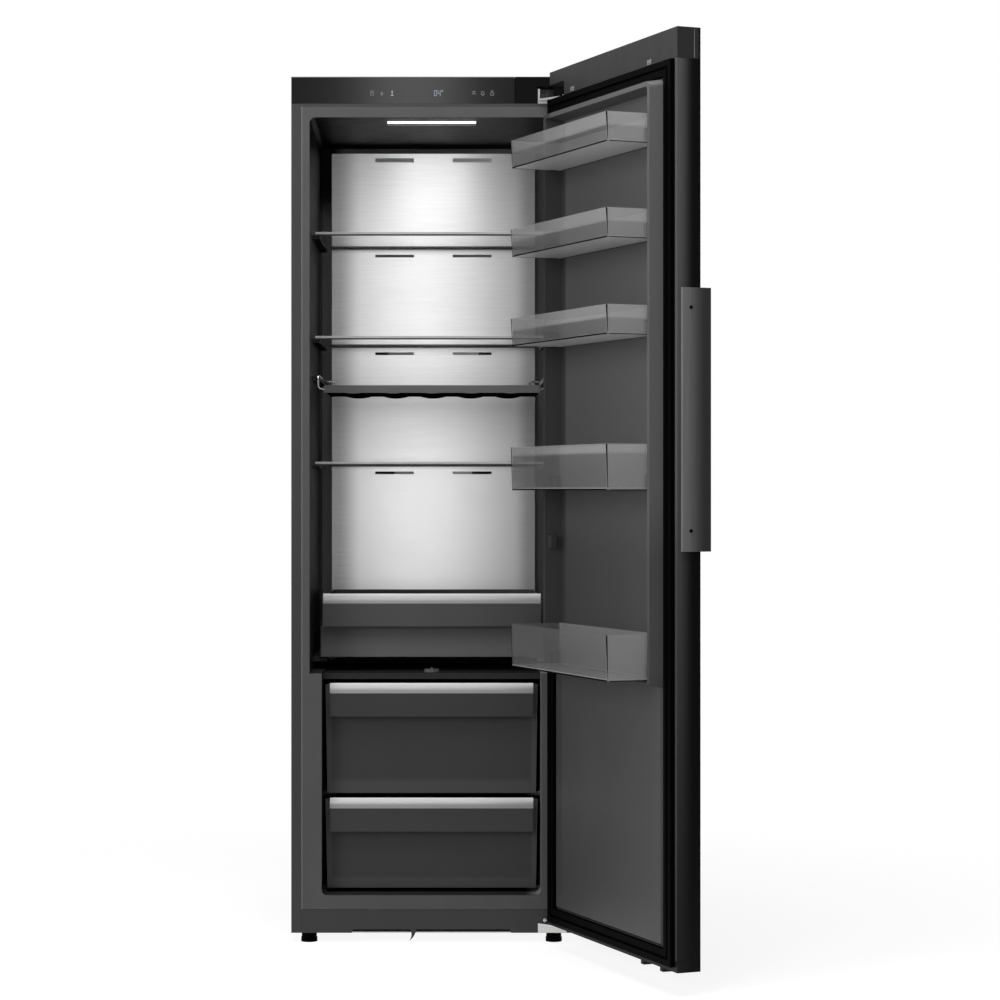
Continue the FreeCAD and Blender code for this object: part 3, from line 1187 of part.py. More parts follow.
def door_lining():
    """Moulded inner lining: a flat border, the ridge round the bins, their bosses and the lower panel."""
    inside = DOOR_HALF - D["door_sheet"] - FIT
    plate = box("lining_plate", mirror_pair(inside), (INNER_Y - WALL, INNER_Y),
                (FOOT_CAP_Z + FIT, CAP_Z - FIT))
    outer, inner = DYKE_OUTER, DYKE_INNER
    draft = D["dyke_draft"]
    rise = (INNER_Y - WALL / 2, INNER_Y + D["dyke_height"])
    low, high = D["dyke_end"], CAVITY_TOP - D["cavity_round"] / 2
    ridge_block = wedge("ridge_block", mirror_pair(outer), rise, (low, high), mirror_pair(outer - draft),
                        (low + draft, high - draft))
    floor = low - D["dyke_width"]
    room_top = high - D["dyke_width"]
    ridge_room = wedge("ridge_room", mirror_pair(inner), (INNER_Y - WALL * 2, rise[1] + PAST), (floor, room_top),
                       mirror_pair(inner + draft), (floor, room_top + draft))
    ridge_block = rounded("ridge_block_round", ridge_block, D["dyke_round"], lengthwise)
    ridge_room = rounded("ridge_room_round", ridge_room, D["dyke_round"] / 2, lengthwise)
    ridge = cut("ridge", ridge_block, ridge_room)
    pad_half = outer - draft
    pad_low = GASKET_LOW + D["gasket_width"] + D["dyke_margin"]
    pad = wedge("lower_panel", mirror_pair(pad_half), (INNER_Y - WALL / 2, INNER_Y + D["pad_raise"]),
                (pad_low, low + draft * 2), mirror_pair(pad_half - draft), (pad_low + draft, low + draft))
    bosses = []
    feet = [level for name, level, height in bin_levels()] + [D["boss_spare"]]
    for number, level in enumerate(feet):
        reach = inner - D["boss_reach"]
        for side, x in (("left", (-inner - draft, -reach)), ("right", (reach, inner + draft))):
            bosses.append(box(f"boss_{side}_{number}", x, boss_span(0), (level, level + D["boss_height"])))
    return hang("door_lining", fuse("lining", plate, ridge, pad, *bosses))


def gasket():
    """Magnetic gasket round the door's inner face, with a fold along its length."""
    def band(name, inset, width, low_y, high_y):
        side = DOOR_HALF - D["gasket_inset"] - inset
        low, high = GASKET_LOW + inset, GASKET_HIGH - inset
        block = box(name + "_outer", mirror_pair(side), (low_y, high_y), (low, high))
        room = box(name + "_inner", mirror_pair(side - width), (low_y - PAST, high_y + PAST),
                   (low + width, high - width))
        return cut(name, block, room)

    base_y = INNER_Y + FIT
    top_y = base_y + D["gasket_thick"]
    body = band("gasket_body", 0, D["gasket_width"], base_y, top_y)
    fold = band("gasket_groove", D["gasket_width"] / 2 - D["gasket_fold"] / 2, D["gasket_fold"],
                base_y + D["gasket_thick"] / 2, top_y + PAST)
    return hang("door_gasket", cut("gasket", body, fold))


def handle():
    """Long flat handle on the door's free edge, with a finger edge turned in front of the door."""
    rear = INNER_Y - D["handle_start"]
    front = rear - D["handle_width"]
    out = -DOOR_HALF - FIT
    plate = D["handle_plate"]
    turn, edge = out - plate + D["handle_return"], front + D["handle_edge"]
    form = prism("handle_form", "XY_Plane", [
        (out - plate, rear), (out - plate, front), (turn, front), (turn, edge), (out, edge), (out, rear),
    ], D["handle_length"], D["handle_bottom"], middle=False)
    bar = rounded("handle_round", form, plate / 4, upright)
    return hang("door_handle", bar)


def door_bin(name, low, height):
    """Clear bin whose ends drop over a pair of bosses on the ridge."""
    half = DYKE_INNER - D["bin_play"]
    back, front = INNER_Y + D["bin_back"], INNER_Y + D["bin_reach"]
    form = tub(f"bin_{name}", mirror_pair(half), (back, front), (low, low + height), (0, 0, 0, D["bin_flare"]),
               D["bin_round"])
    inner = DYKE_INNER - D["boss_reach"]
    play = D["boss_play"]
    pocket_top = low + D["boss_height"] + FIT
    blocks, rooms = [], []
    for side, sign in (("left", -1), ("right", 1)):
        solid = [inner * sign - (play + WALL) * sign, half * sign]
        hollow = [inner * sign - play * sign, half * sign + PAST * sign]
        if sign < 0:
            solid.reverse()
            hollow.reverse()
        blocks.append(box(f"pocket_{side}_{name}", solid, boss_span(play + WALL), (low, pocket_top + WALL)))
        rooms.append(box(f"pocket_room_{side}_{name}", hollow, boss_span(play), (low - PAST, pocket_top)))
    return hang(f"door_bin_{name}", cut(f"bin_{name}_whole", fuse(f"bin_{name}_solid", form, *blocks), *rooms))


def build():
    cabinet_shell()
    liner()
    insulation()
    rear_walls()
    base()
    plinth()
    top_mouldings()
    ceiling_lamp()
    cooling_panel()
    air_duct()
    evaporator()
    fan()
    compressor()
    mains_gland()
    for side, sign in (("left", -1), ("right", 1)):
        front_foot(side, sign)
        rear_roller(side, sign)
    roller_axles()
    for level in ("upper", "middle", "lower"):
        shelf(level)
    bottle_tray()
    chill_box()
    drawer_cover()
    for level in ("upper", "lower"):
        salad_drawer(level)
    hinges()
    door_shell()
    door_lining()
    gasket()
    handle()
    for name, low, height in bin_levels():
        door_bin(name, low, height)


def write_parts():
    doc.recompute()
    for item in doc.Objects:
        if "Invalid" in item.State or "Error" in item.State:
            raise RuntimeError(f"{item.Label} did not build")
    os.makedirs("parts", exist_ok=True)
    for item in PIECES:
        if item.Shape.isNull() or not item.Shape.isValid() or not item.Shape.Solids:
            raise RuntimeError(f"{item.Label} is not a valid solid")
        item.Shape.exportStep(os.path.join("parts", item.Label + ".step"))
    print(f"{len(PIECES)} sub-parts written")


build()
write_parts()
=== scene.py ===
"""Looks of the open larder fridge: finishes, small fittings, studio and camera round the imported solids."""

import json
import math

import bmesh
import bpy
from mathutils import Matrix, Vector


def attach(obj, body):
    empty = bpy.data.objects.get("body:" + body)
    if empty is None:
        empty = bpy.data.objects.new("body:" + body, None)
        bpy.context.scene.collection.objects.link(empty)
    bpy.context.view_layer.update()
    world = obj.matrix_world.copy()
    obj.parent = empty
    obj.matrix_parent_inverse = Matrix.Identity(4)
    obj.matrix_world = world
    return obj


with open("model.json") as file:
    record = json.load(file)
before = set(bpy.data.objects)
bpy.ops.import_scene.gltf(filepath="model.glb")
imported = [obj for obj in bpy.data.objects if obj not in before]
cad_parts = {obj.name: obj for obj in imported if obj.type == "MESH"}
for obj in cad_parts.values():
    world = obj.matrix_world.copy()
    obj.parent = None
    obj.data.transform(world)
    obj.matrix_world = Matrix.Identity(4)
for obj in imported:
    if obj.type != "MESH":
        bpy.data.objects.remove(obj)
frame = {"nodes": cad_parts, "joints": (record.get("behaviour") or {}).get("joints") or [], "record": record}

MM = 0.001
RIGHT, LEFT, INWARD, UP = (1, 0, 0), (-1, 0, 0), (0, 1, 0), (0, 0, 1)  # as you face the cabinet
BLACK, WHITE = (0.0, 0.0, 0.0, 1.0), (1.0, 1.0, 1.0, 1.0)
NEUTRAL = (1.0, 1.0, 1.0)
MIX_FACTOR, MIX_DARK, MIX_LIGHT, MIX_COLOUR = 0, 6, 7, 2  # a Mix node's sockets for colours

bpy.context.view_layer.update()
NODES = frame["nodes"]
SLOTS = {row["node"]: row["material_slot"] for row in frame["record"]["subparts"]}
SWING = next(joint for joint in frame["joints"] if joint["name"] == "door_swing")
DOOR_OPEN = math.radians(-SWING["range_deg"][0])  # the joint's lower limit is the shut door
HINGE_LINE = Vector(SWING["pos_m"])
SWUNG = Matrix.Translation(HINGE_LINE) @ Matrix.Rotation(DOOR_OPEN, 4, "Z") @ Matrix.Translation(-HINGE_LINE)
DOOR_INWARD = SWUNG.to_3x3() @ Vector(INWARD)
DOOR_ALONG = SWUNG.to_3x3() @ Vector(LEFT)


def shut_box(node_name):
    """Corners, in millimetres, of the box round a door piece where the shut door lies."""
    node = NODES[node_name]
    back = SWUNG.inverted() @ node.matrix_world
    points = [back @ vert.co / MM for vert in node.data.vertices]
    return [Vector([pick(point[axis] for point in points) for axis in range(3)]) for pick in (min, max)]


class Signal:
    """An output of a node. Python's operators on one that carries a number add Math nodes."""

    def __init__(self, finish, socket):
        self.finish = finish
        self.socket = socket

    def math(self, operation, *values):
        return self.finish.node("ShaderNodeMath", {"operation": operation}, dict(enumerate(values)))

    def __add__(self, other):
        return self.math("ADD", self, other)

    def __sub__(self, other):
        return self.math("SUBTRACT", self, other)

    def __rsub__(self, other):
        return self.math("SUBTRACT", other, self)

    def __mul__(self, other):
        return self.math("MULTIPLY", self, other)

    __radd__ = __add__
    __rmul__ = __mul__


class Graph:
    """One node tree and the one way its nodes are made."""

    def __init__(self, owner):
        owner.use_nodes = True
        self.tree = owner.node_tree
        self.tree.nodes.clear()

    def node(self, kind, settings=None, inputs=None, output=0):
        """Add a node: its settings first, then a value or a link for each named socket."""
        made = self.tree.nodes.new(kind)
        for key, value in (settings or {}).items():
            setattr(made, key, value)
        for key, value in (inputs or {}).items():
            if isinstance(value, Signal):
                self.tree.links.new(value.socket, made.inputs[key])
            else:
                made.inputs[key].default_value = value
        return Signal(self, made.outputs[output]) if made.outputs else None

    def between(self, factor, dark, light):
        """A colour from dark at 0 to light at 1."""
        settings = {"data_type": "RGBA", "clamp_factor": True}
        inputs = {MIX_FACTOR: factor, MIX_DARK: dark, MIX_LIGHT: light}
        return self.node("ShaderNodeMix", settings, inputs, output=MIX_COLOUR)

    def step(self, value, start, end, low=0.0, high=1.0):
        """The low number before start and the high one after end, eased between them."""
        return self.node("ShaderNodeMapRange", {"interpolation_type": "SMOOTHSTEP"}, {
            "Value": value, "From Min": start, "From Max": end, "To Min": low, "To Max": high})

    def ray(self, kind):
        """1 for light paths of one kind, such as "Camera" or "Glossy"."""
        return self.node("ShaderNodeLightPath", output=f"Is {kind} Ray")


class Finish(Graph):
    """One named material."""

    def __init__(self, name):
        self.material = bpy.data.materials.new(name)
        super().__init__(self.material)
        self.place = self.node("ShaderNodeTexCoord", output="Object")

    def stretched(self, x, y, z):
        """The place on the piece, counted in cells of these three sizes."""
        cells = (1 / x, 1 / y, 1 / z)
        return self.node("ShaderNodeVectorMath", {"operation": "MULTIPLY"}, {0: self.place, 1: cells})

    def noise(self, x, y, z, detail=2.0, roughness=0.5):
        """Soft mottling between 0 and 1, with cells of these sizes in metres."""
        inputs = {"Vector": self.stretched(x, y, z), "Scale": 1.0, "Detail": detail, "Roughness": roughness}
        return self.node("ShaderNodeTexNoise", None, inputs)

    def ramp(self, direction, start, end):
        """The step by a place in metres along a direction across the piece."""
        inputs = {0: self.place, 1: direction}
        reach = self.node("ShaderNodeVectorMath", {"operation": "DOT_PRODUCT"}, inputs, output="Value")
        return self.step(reach, start, end)

    def door_ramp(self, start, end):
        """The same across the door's thickness, by where the shut door lies."""
        shift = HINGE_LINE.dot(DOOR_INWARD) - HINGE_LINE.y
        return self.ramp(DOOR_INWARD, start + shift, end + shift)

    def door_end(self, start, end):
        """The same along the door, from its hinge towards its free edge, by the shut door's -x."""
        shift = HINGE_LINE.dot(DOOR_ALONG) + HINGE_LINE.x
        return self.ramp(DOOR_ALONG, start + shift, end + shift)

    def share(self, axis):
        """0 at one end of the piece's own box and 1 at the other, along X, Y or Z."""
        place = self.node("ShaderNodeTexCoord", output="Generated")
        return self.node("ShaderNodeSeparateXYZ", None, {"Vector": place}, output=axis)

    def bumped(self, height, depth):
        """Normal of a surface whose relief is depth metres deep."""
        return self.node("ShaderNodeBump", None, {"Height": height, "Strength": 1.0, "Distance": depth})

    def underside(self, slope=0.85):
        """1 on faces that look down, at least this steeply, 0 elsewhere."""
        normal = self.node("ShaderNodeNewGeometry", output="True Normal")
        upward = self.node("ShaderNodeSeparateXYZ", None, {"Vector": normal}, output="Z")
        return upward.math("LESS_THAN", upward, -slope)

    def surface(self, **sockets):
        """End the finish in one Principled shader; underscores stand for the spaces in socket names."""
        inputs = {key.replace("_", " "): value for key, value in sockets.items()}
        shader = self.node("ShaderNodeBsdfPrincipled", None, inputs)
        self.node("ShaderNodeOutputMaterial", None, {"Surface": shader})
        return self.material


def grey(level, tint=NEUTRAL):
    """A linear grey with a slight tint, as a colour."""
    return tuple(level * part for part in tint) + (1.0,)


# Families of finishes. Cell sizes and reliefs are in metres.

MOULD_FLOW = (0.09, 0.09, 0.16)
MOULD_FLOW_SHARE = 0.65  # of the mottling; the pores give the rest
HANDLED_CELLS = (0.045, 0.045, 0.07)
HANDLED_GLOSS = 0.12  # how far handled patches spread the roughness


def moulded(name, level, roughness, pore=0.0006, relief=0.00002, spread=0.18, shade=None, **constants):
    """Moulded plastic: leathered pores, faint flow mottling, handled patches, and painted light and shade if
    asked.
    """
    finish = Finish(name)
    pores = finish.noise(pore, pore, pore, detail=3.0)
    flow = finish.noise(*MOULD_FLOW, detail=3.0)
    handled = finish.noise(*HANDLED_CELLS, detail=4.0, roughness=0.6)
    tone = flow * MOULD_FLOW_SHARE + pores * (1 - MOULD_FLOW_SHARE)
    colour = finish.between(tone, grey(level * (1 - spread)), grey(level * (1 + spread)))
    for share, other in (shade(finish) if shade else ()):
        colour = finish.between(share, colour, grey(other))
    return finish.surface(
        Base_Color=colour,
        Roughness=roughness - HANDLED_GLOSS / 2 + handled * HANDLED_GLOSS,
        Normal=finish.bumped(pores, relief),
        **constants,
    )


CLOUD_CELLS = (0.25, 0.25, 0.3)
LINE_SHARE, STREAK_SHARE, CLOUD_SHARE = 0.45, 0.4, 0.15  # of the brushed tone
SHADE_LEAST, SHADE_STREAK = 0.7, 0.6  # the streaks break up the edge of each tone of painted light and shade laid over the metal


def brushed(name, level, roughness, along, across, relief, tint=NEUTRAL, contrast=0.25, wander=0.16,
            shade=None, **constants):
    """Metal brushed one way: long streaks of the cell size "along", fine lines of the size "across"."""
    finish = Finish(name)
    lines = finish.noise(*across, detail=2.0)
    streaks = finish.noise(*along, detail=4.0, roughness=0.65)
    cloud = finish.noise(*CLOUD_CELLS, detail=2.0)
    tone = lines * LINE_SHARE + streaks * STREAK_SHARE + cloud * CLOUD_SHARE
    colour = finish.between(tone, grey(level * (1 - contrast), tint), grey(level * (1 + contrast), tint))
    for share, other in (shade(finish) if shade else ()):
        colour = finish.between(share * (SHADE_LEAST + streaks * SHADE_STREAK), colour, grey(other))
    return finish.surface(
        Base_Color=colour,
        Roughness=roughness - wander / 2 + streaks * wander,
        Normal=finish.bumped(lines, relief),
        **constants,
    )


HAZE_CELLS = (0.2, 0.2, 0.3)
HAZE_SPREAD = 0.12
HAZE_GLOSS = 0.1
PEEL_CELL = 0.0016
PEEL_RELIEF = 0.00002


def painted(name, level, roughness, **constants):
    """Sprayed paint with a fine orange peel."""
    finish = Finish(name)
    skin = finish.noise(PEEL_CELL, PEEL_CELL, PEEL_CELL, detail=2.0)
    haze = finish.noise(*HAZE_CELLS, detail=3.0)
    return finish.surface(
        Base_Color=finish.between(haze, grey(level * (1 - HAZE_SPREAD)), grey(level * (1 + HAZE_SPREAD))),
        Roughness=roughness - HAZE_GLOSS / 2 + haze * HAZE_GLOSS,
        Normal=finish.bumped(skin, PEEL_RELIEF),
        **constants,
    )


SWIRL_CELLS = (0.012, 0.012, 0.03)
SWIRL_COVER = 0.02
SWIRL_GLOSS = 0.05
SWIRL_RELIEF = 0.000004


def see_through(finish, colour, roughness, cover, **constants):
    """Clear moulding of which each face hides a share of what is behind it, with the swirls of its mould."""
    swirl = finish.noise(*SWIRL_CELLS, detail=2.0)
    return finish.surface(
        Base_Color=colour,
        Roughness=roughness + swirl * SWIRL_GLOSS,
        Alpha=cover - SWIRL_COVER / 2 + swirl * SWIRL_COVER,
        Normal=finish.bumped(swirl, SWIRL_RELIEF),
        **constants,
    )


# Tones by place on a piece, nearly all of them painted light and shade: pairs of a mask and the grey that it
# brings, each laid over those before it.


def panel_painted_light_and_shade(finish):
    """Painted light and shade on the cooling panel: painted light in its lower bays and painted shade along
    its two folded sides.
    """
    lower_bays_painted_light = 1 - finish.ramp(UP, 0.95, 1.30)
    left_fold_painted_shade = finish.ramp(LEFT, 0.165, 0.225)
    right_fold_painted_shade = finish.ramp(RIGHT, 0.185, 0.225)
    return [(lower_bays_painted_light, 0.86), (left_fold_painted_shade, 0.42), (right_fold_painted_shade, 0.52)]


def door_painted_light(finish):
    """Painted light on the door: paler at its edge's inner corner, most of all high up, and on its front."""
    front = shut_box("door_front_panel")[0].y * MM
    inner_corner_painted_light = finish.door_ramp(-0.046, -0.010) * finish.ramp(UP, -0.3, 1.5)
    front_face_painted_light = 1 - finish.door_ramp(front + 0.0004, front + 0.0008)
    return [(inner_corner_painted_light, 0.090), (front_face_painted_light, 0.032)]


def handle_painted_light(finish):
    """Painted light on the handle: paler towards the edge nearest the cabinet."""
    near_cabinet_painted_light = finish.door_ramp(-0.070, -0.015)
    return [(near_cabinet_painted_light, 0.160)]


def hinge_painted_shade(finish):
    """Painted shade on the hinge: the web inside it is darker than its arm and rib."""
    web = finish.ramp(INWARD, 0.002, 0.005)
    return [(web, 0.03)]


def liner_painted_light_and_shade(finish):
    """Painted light and shade on the liner: a painted highlight on the front flange's outer edge, painted
    shade over the inside, painted light at the rear and right, and deeper painted shade high on the left and
    over the ceiling, which is painted black.
    """
    outer_edge_painted_highlight = finish.ramp(LEFT, 0.2755, 0.2765)
    # painted shade inside the cabinet; the masks after it paint light at the rear and right and shade above
    inside = finish.ramp(INWARD, 0.002, 0.008)
    rear = inside * finish.ramp(INWARD, 0.40, 0.46)
    right = inside * finish.ramp(RIGHT, 0.20, 0.24)
    upper_left_painted_shade = inside * finish.ramp(LEFT, 0.20, 0.24) * finish.ramp(UP, 1.58, 1.66)
    ceiling = inside * finish.underside()
    return [
        (outer_edge_painted_highlight, 0.125),
        (inside, 0.024),
        (rear, 0.19),
        (right, 0.24),
        (upper_left_painted_shade, 0.008),
        (ceiling, 0.001),
    ]


def trim_tones_with_painted_shade(finish):
    """A shelf's front trim has painted shade along its foot, and its rear trim is dark all over."""
    # painted shade along the lower part of the front trim
    foot = 1 - finish.step(finish.share("Z"), 0.36, 0.42)
    rear_trim = finish.ramp(INWARD, 0.2, 0.3)
    return [(foot, 0.012), (rear_trim, 0.006)]


def tray_painted_shade(finish):
    """The troughs of the bottle tray are painted dark underneath, as painted shade."""
    below_painted_shade = finish.underside(0.2)
    return [(below_painted_shade, 0.003)]


PULL_BOW = 0.704  # where a pull's bowed top begins, as a share of its height
BOW_EASE = 0.01


def pull_painted_highlight(finish):
    """A pull's bowed top is painted paler as a painted highlight, brightest along its upper edge."""
    rise = finish.share("Z")
    bow_painted_light = finish.step(rise, PULL_BOW - BOW_EASE, PULL_BOW + BOW_EASE)
    crown_painted_highlight = finish.step(rise, PULL_BOW, 1.0)
    return [(bow_painted_light, 0.21), (crown_painted_highlight * crown_painted_highlight * crown_painted_highlight * bow_painted_light, 0.74)]


def lining_painted_light_and_shade(finish):
    """Painted light and shade on the lining: painted light behind the bins, painted shade at its foot and
    along its hinge side.
    """
    behind_bins_painted_light = finish.ramp(UP, 0.80, 1.0)
    # painted shade at the lining's foot
    foot = 1 - finish.ramp(UP, 0.10, 0.35)
    hinge_side_painted_shade = 1 - finish.door_end(-0.222, -0.212)
    return [(behind_bins_painted_light, 0.094), (foot, 0.046), (hinge_side_painted_shade, 0.042)]


# The fridge's own finishes.


def panel_steel():
    """The cooling panel: bright steel brushed from side to side, with painted light and shade laid over it.
    """
    return brushed(
        "panel_steel", 0.80, 0.36, along=(0.15, 0.02, 0.0034), across=(0.06, 0.02, 0.0012), relief=0.00001,
        contrast=0.20, wander=0.08, shade=panel_painted_light_and_shade,
        Metallic=1.0, Anisotropic=0.8, Anisotropic_Rotation=0.25,
    )


def door_dark():
    """The door's outside: near-black steel brushed upright, with painted light on its edge and front."""
    return brushed(
        "door_dark", 0.004, 0.42, along=(0.0025, 0.0025, 0.25), across=(0.0008, 0.0008, 0.07), relief=0.00002,
        contrast=0.5, shade=door_painted_light, Specular_IOR_Level=0.08,
    )


def handle_grey():
    """The handle: dark anodised bar brushed along its length, with painted light towards one edge."""
    return brushed(
        "handle_grey", 0.026, 0.40, along=(0.004, 0.004, 0.2), across=(0.0009, 0.0009, 0.05), relief=0.00001,
        contrast=0.2, shade=handle_painted_light, Specular_IOR_Level=0.3,
    )


def zinc(name="zinc", level=0.62, roughness=0.30, shade=None):
    """Bright plated steel with faint tumbling marks."""
    return brushed(
        name, level, roughness, along=(0.02, 0.02, 0.02), across=(0.0012, 0.0012, 0.0012), relief=0.00001,
        tint=(1.0, 1.0, 0.97), contrast=0.15, shade=shade, Metallic=1.0,
    )


CRYSTAL_CELL = 0.010
CRYSTAL_SHARE = 0.7
RUB_CELL = 0.12
SHEET_TINT = (0.98, 1.0, 1.02)


def galvanised():
    """Zinc-coated sheet with its frosty crystals."""
    finish = Finish("galvanised")
    spread = finish.stretched(CRYSTAL_CELL, CRYSTAL_CELL, CRYSTAL_CELL)
    cells = finish.node(
        "ShaderNodeTexVoronoi", {"feature": "F1"}, {"Vector": spread, "Scale": 1.0}, output="Color")
    crystal = finish.node("ShaderNodeSeparateColor", None, {"Color": cells})
    rub = finish.noise(RUB_CELL, RUB_CELL, RUB_CELL, detail=4.0)
    frost = crystal * CRYSTAL_SHARE + rub * (1 - CRYSTAL_SHARE)
    return finish.surface(
        Base_Color=finish.between(frost, grey(0.42, SHEET_TINT), grey(0.54, SHEET_TINT)),
        Roughness=0.38 + crystal * 0.10,
        Metallic=1.0,
        Normal=finish.bumped(rub, 0.0001),
    )


CLEAR_FLOW = (0.05, 0.05, 0.08)
DRAWER_COVER = 0.95
DRAWER_ROUGHNESS = 0.42
DRAWER_SPECULAR = 0.25


def drawer_smoke():
    """Smoked drawer plastic, painted a little paler where the side and floor walls meet its front: painted
    light that stands in for those walls seen through the front.
    """
    finish = Finish("drawer_smoke")
    flow = finish.noise(*CLEAR_FLOW, detail=3.0)
    across = finish.share("X")
    off_middle = across.math("ABSOLUTE", across - 0.5)
    side_walls = finish.step(off_middle, 0.466, 0.474)
    floor_wall = 1 - finish.step(finish.share("Z"), 0.09, 0.15)
    # the paler margin is painted light, standing in for the walls seen through the front
    seam = across.math("MAXIMUM", side_walls, floor_wall)
    body = finish.between(flow, grey(0.032), grey(0.038))
    colour = finish.between(seam, body, grey(0.050))
    return see_through(finish, colour, DRAWER_ROUGHNESS, DRAWER_COVER, Specular_IOR_Level=DRAWER_SPECULAR)


def chill_grey():
    """The chill box's grey, paler towards the foot of its front panel."""
    finish = Finish("chill_grey")
    flow = finish.noise(*CLEAR_FLOW, detail=3.0)
    body = finish.between(flow, grey(0.054), grey(0.062))
    foot = 1 - finish.step(finish.share("Z"), 0.0, 0.48)
    colour = finish.between(foot, body, grey(0.105))
    return see_through(finish, colour, DRAWER_ROUGHNESS, DRAWER_COVER, Specular_IOR_Level=DRAWER_SPECULAR)


BIN_HALF = shut_box("door_bin_top")[1].x * MM
BIN_COVER = 0.31  # share that one face hides; a wall has two faces
RIM_EASE = 0.04
NO_RIM = 1.2  # above the bin's top


def bin_clear(name, rim_start):
    """The door bins' smoky clear plastic, with a paler band near the rim painted as light that stands in for
    the rear wall seen through the front, a pale floor, and an underside painted near white as painted light.
    """
    finish = Finish(name)
    flow = finish.noise(*CLEAR_FLOW, detail=3.0)
    rise = finish.share("Z")
    back = 1 - finish.door_ramp(-0.004, 0.0)
    free_end = finish.door_end(BIN_HALF - 0.004, BIN_HALF - 0.002)
    floor_plate = 1 - finish.step(rise, 0.04, 0.07)
    # painted light: the underside of the floor is painted near white
    under = floor_plate * finish.underside()
    # painted light: a paler band near the rim, fading towards the hinge end
    fading = 0.45 + finish.door_end(-0.20, 0.05) * 0.55
    rim = finish.step(rise, rim_start - RIM_EASE, rim_start + RIM_EASE) * fading
    colour = finish.between(rim, grey(0.16), grey(0.48))
    for share, other in ((free_end * 0.5, 0.54), (back, 0.42), (floor_plate, 0.32), (under, 0.85)):
        colour = finish.between(share, colour, grey(other))
    cover = BIN_COVER + flow * 0.04 + free_end * 0.06 + floor_plate * 0.29 + under * 0.20
    return see_through(finish, colour, 0.20, cover, Specular_IOR_Level=0.3)


def shelf_glass():
    """Toughened glass with a faint grey-green body."""
    finish = Finish("shelf_glass")
    wave = finish.noise(0.07, 0.07, 0.07, detail=1.0)
    return finish.surface(
        Base_Color=finish.between(wave, (0.20, 0.24, 0.23, 1), (0.24, 0.28, 0.27, 1)),
        Roughness=0.03 + wave * 0.03,
        Alpha=0.07 + wave * 0.03,
        Normal=finish.bumped(wave, 0.00002),
    )


LAMP_GLOW = 2.0
LAMP_LIT_DEPTH = 0.003
LAMP_LIT_EASE = 0.001


def lamp_diffuser():
    """The ceiling lamp's cover, lit along its front, with the soft spots of the diodes behind it."""
    cover = NODES["ceiling_lamp"]
    lit_end = (cover.matrix_world @ Vector(cover.bound_box[0])).y + LAMP_LIT_DEPTH
    finish = Finish("lamp_diffuser")
    spots = finish.noise(0.012, 0.03, 0.03, detail=1.0)
    lit = finish.between(spots, (0.93, 0.97, 1.0, 1), WHITE)
    unlit = finish.ramp(INWARD, lit_end, lit_end + LAMP_LIT_EASE)
    return finish.surface(
        Base_Color=grey(0.1),
        Roughness=0.35 + spots * 0.1,
        Emission_Color=finish.between(unlit, lit, BLACK),
        Emission_Strength=LAMP_GLOW,
    )


def copper_tube():
    """The refrigerant pipes' copper, tarnished in patches."""
    finish = Finish("copper")
    tarnish = finish.noise(0.02, 0.02, 0.03, detail=4.0, roughness=0.65)
    return finish.surface(
        Base_Color=finish.between(tarnish, (0.36, 0.15, 0.08, 1), (0.62, 0.30, 0.18, 1)),
        Roughness=0.25 + tarnish * 0.25,
        Metallic=1.0,
        Normal=finish.bumped(tarnish, 0.00005),
    )


def board_green():
    """Circuit board: tracks under green lacquer."""
    finish = Finish("board_green")
    grid = finish.stretched(0.012, 0.012, 0.004)
    tracks = finish.node("ShaderNodeTexBrick", None, {"Vector": grid, "Scale": 1.0}, output="Fac")
    return finish.surface(
        Base_Color=finish.between(tracks, (0.015, 0.09, 0.04, 1), (0.05, 0.17, 0.08, 1)),
        Roughness=0.3 + tracks * 0.15,
        Normal=finish.bumped(tracks, 0.00004),
    )


def rigid_foam():
    """The insulation's yellowish foam, with its fine cells and a patchy skin."""
    finish = Finish("foam")
    cells = finish.noise(0.002, 0.002, 0.002, detail=3.0)
    skin = finish.noise(0.04, 0.04, 0.04, detail=3.0)
    return finish.surface(
        Base_Color=finish.between(skin, (0.62, 0.52, 0.33, 1), (0.80, 0.72, 0.52, 1)),
        Roughness=0.75 + cells * 0.2,
        Normal=finish.bumped(cells, 0.0004),
    )


def gloss_dark():
    """The display panel's charcoal gloss, with a faint metal fleck."""
    finish = Finish("gloss_dark")
    fleck = finish.noise(0.0007, 0.0007, 0.0007, detail=1.0)
    wave = finish.noise(0.1, 0.1, 0.05, detail=2.0)
    return finish.surface(
        Base_Color=finish.between(fleck, grey(0.003), grey(0.006)),
        Roughness=0.16 + wave * 0.03,
        Normal=finish.bumped(wave, 0.00005),
        Specular_IOR_Level=0.40,
    )


SPILL_DIM = 0.75


def lit_mark(name, colour):
    """A printed mark that is lit from behind through the display panel."""
    finish = Finish(name)
    spill = finish.noise(0.002, 0.002, 0.002, detail=1.0)
    dim = tuple(part * SPILL_DIM for part in colour)
    return finish.surface(
        Base_Color=grey(0.05),
        Roughness=0.3 + spill * 0.1,
        Emission_Color=finish.between(spill, dim + (1,), colour + (1,)),
        Emission_Strength=1.0,
    )


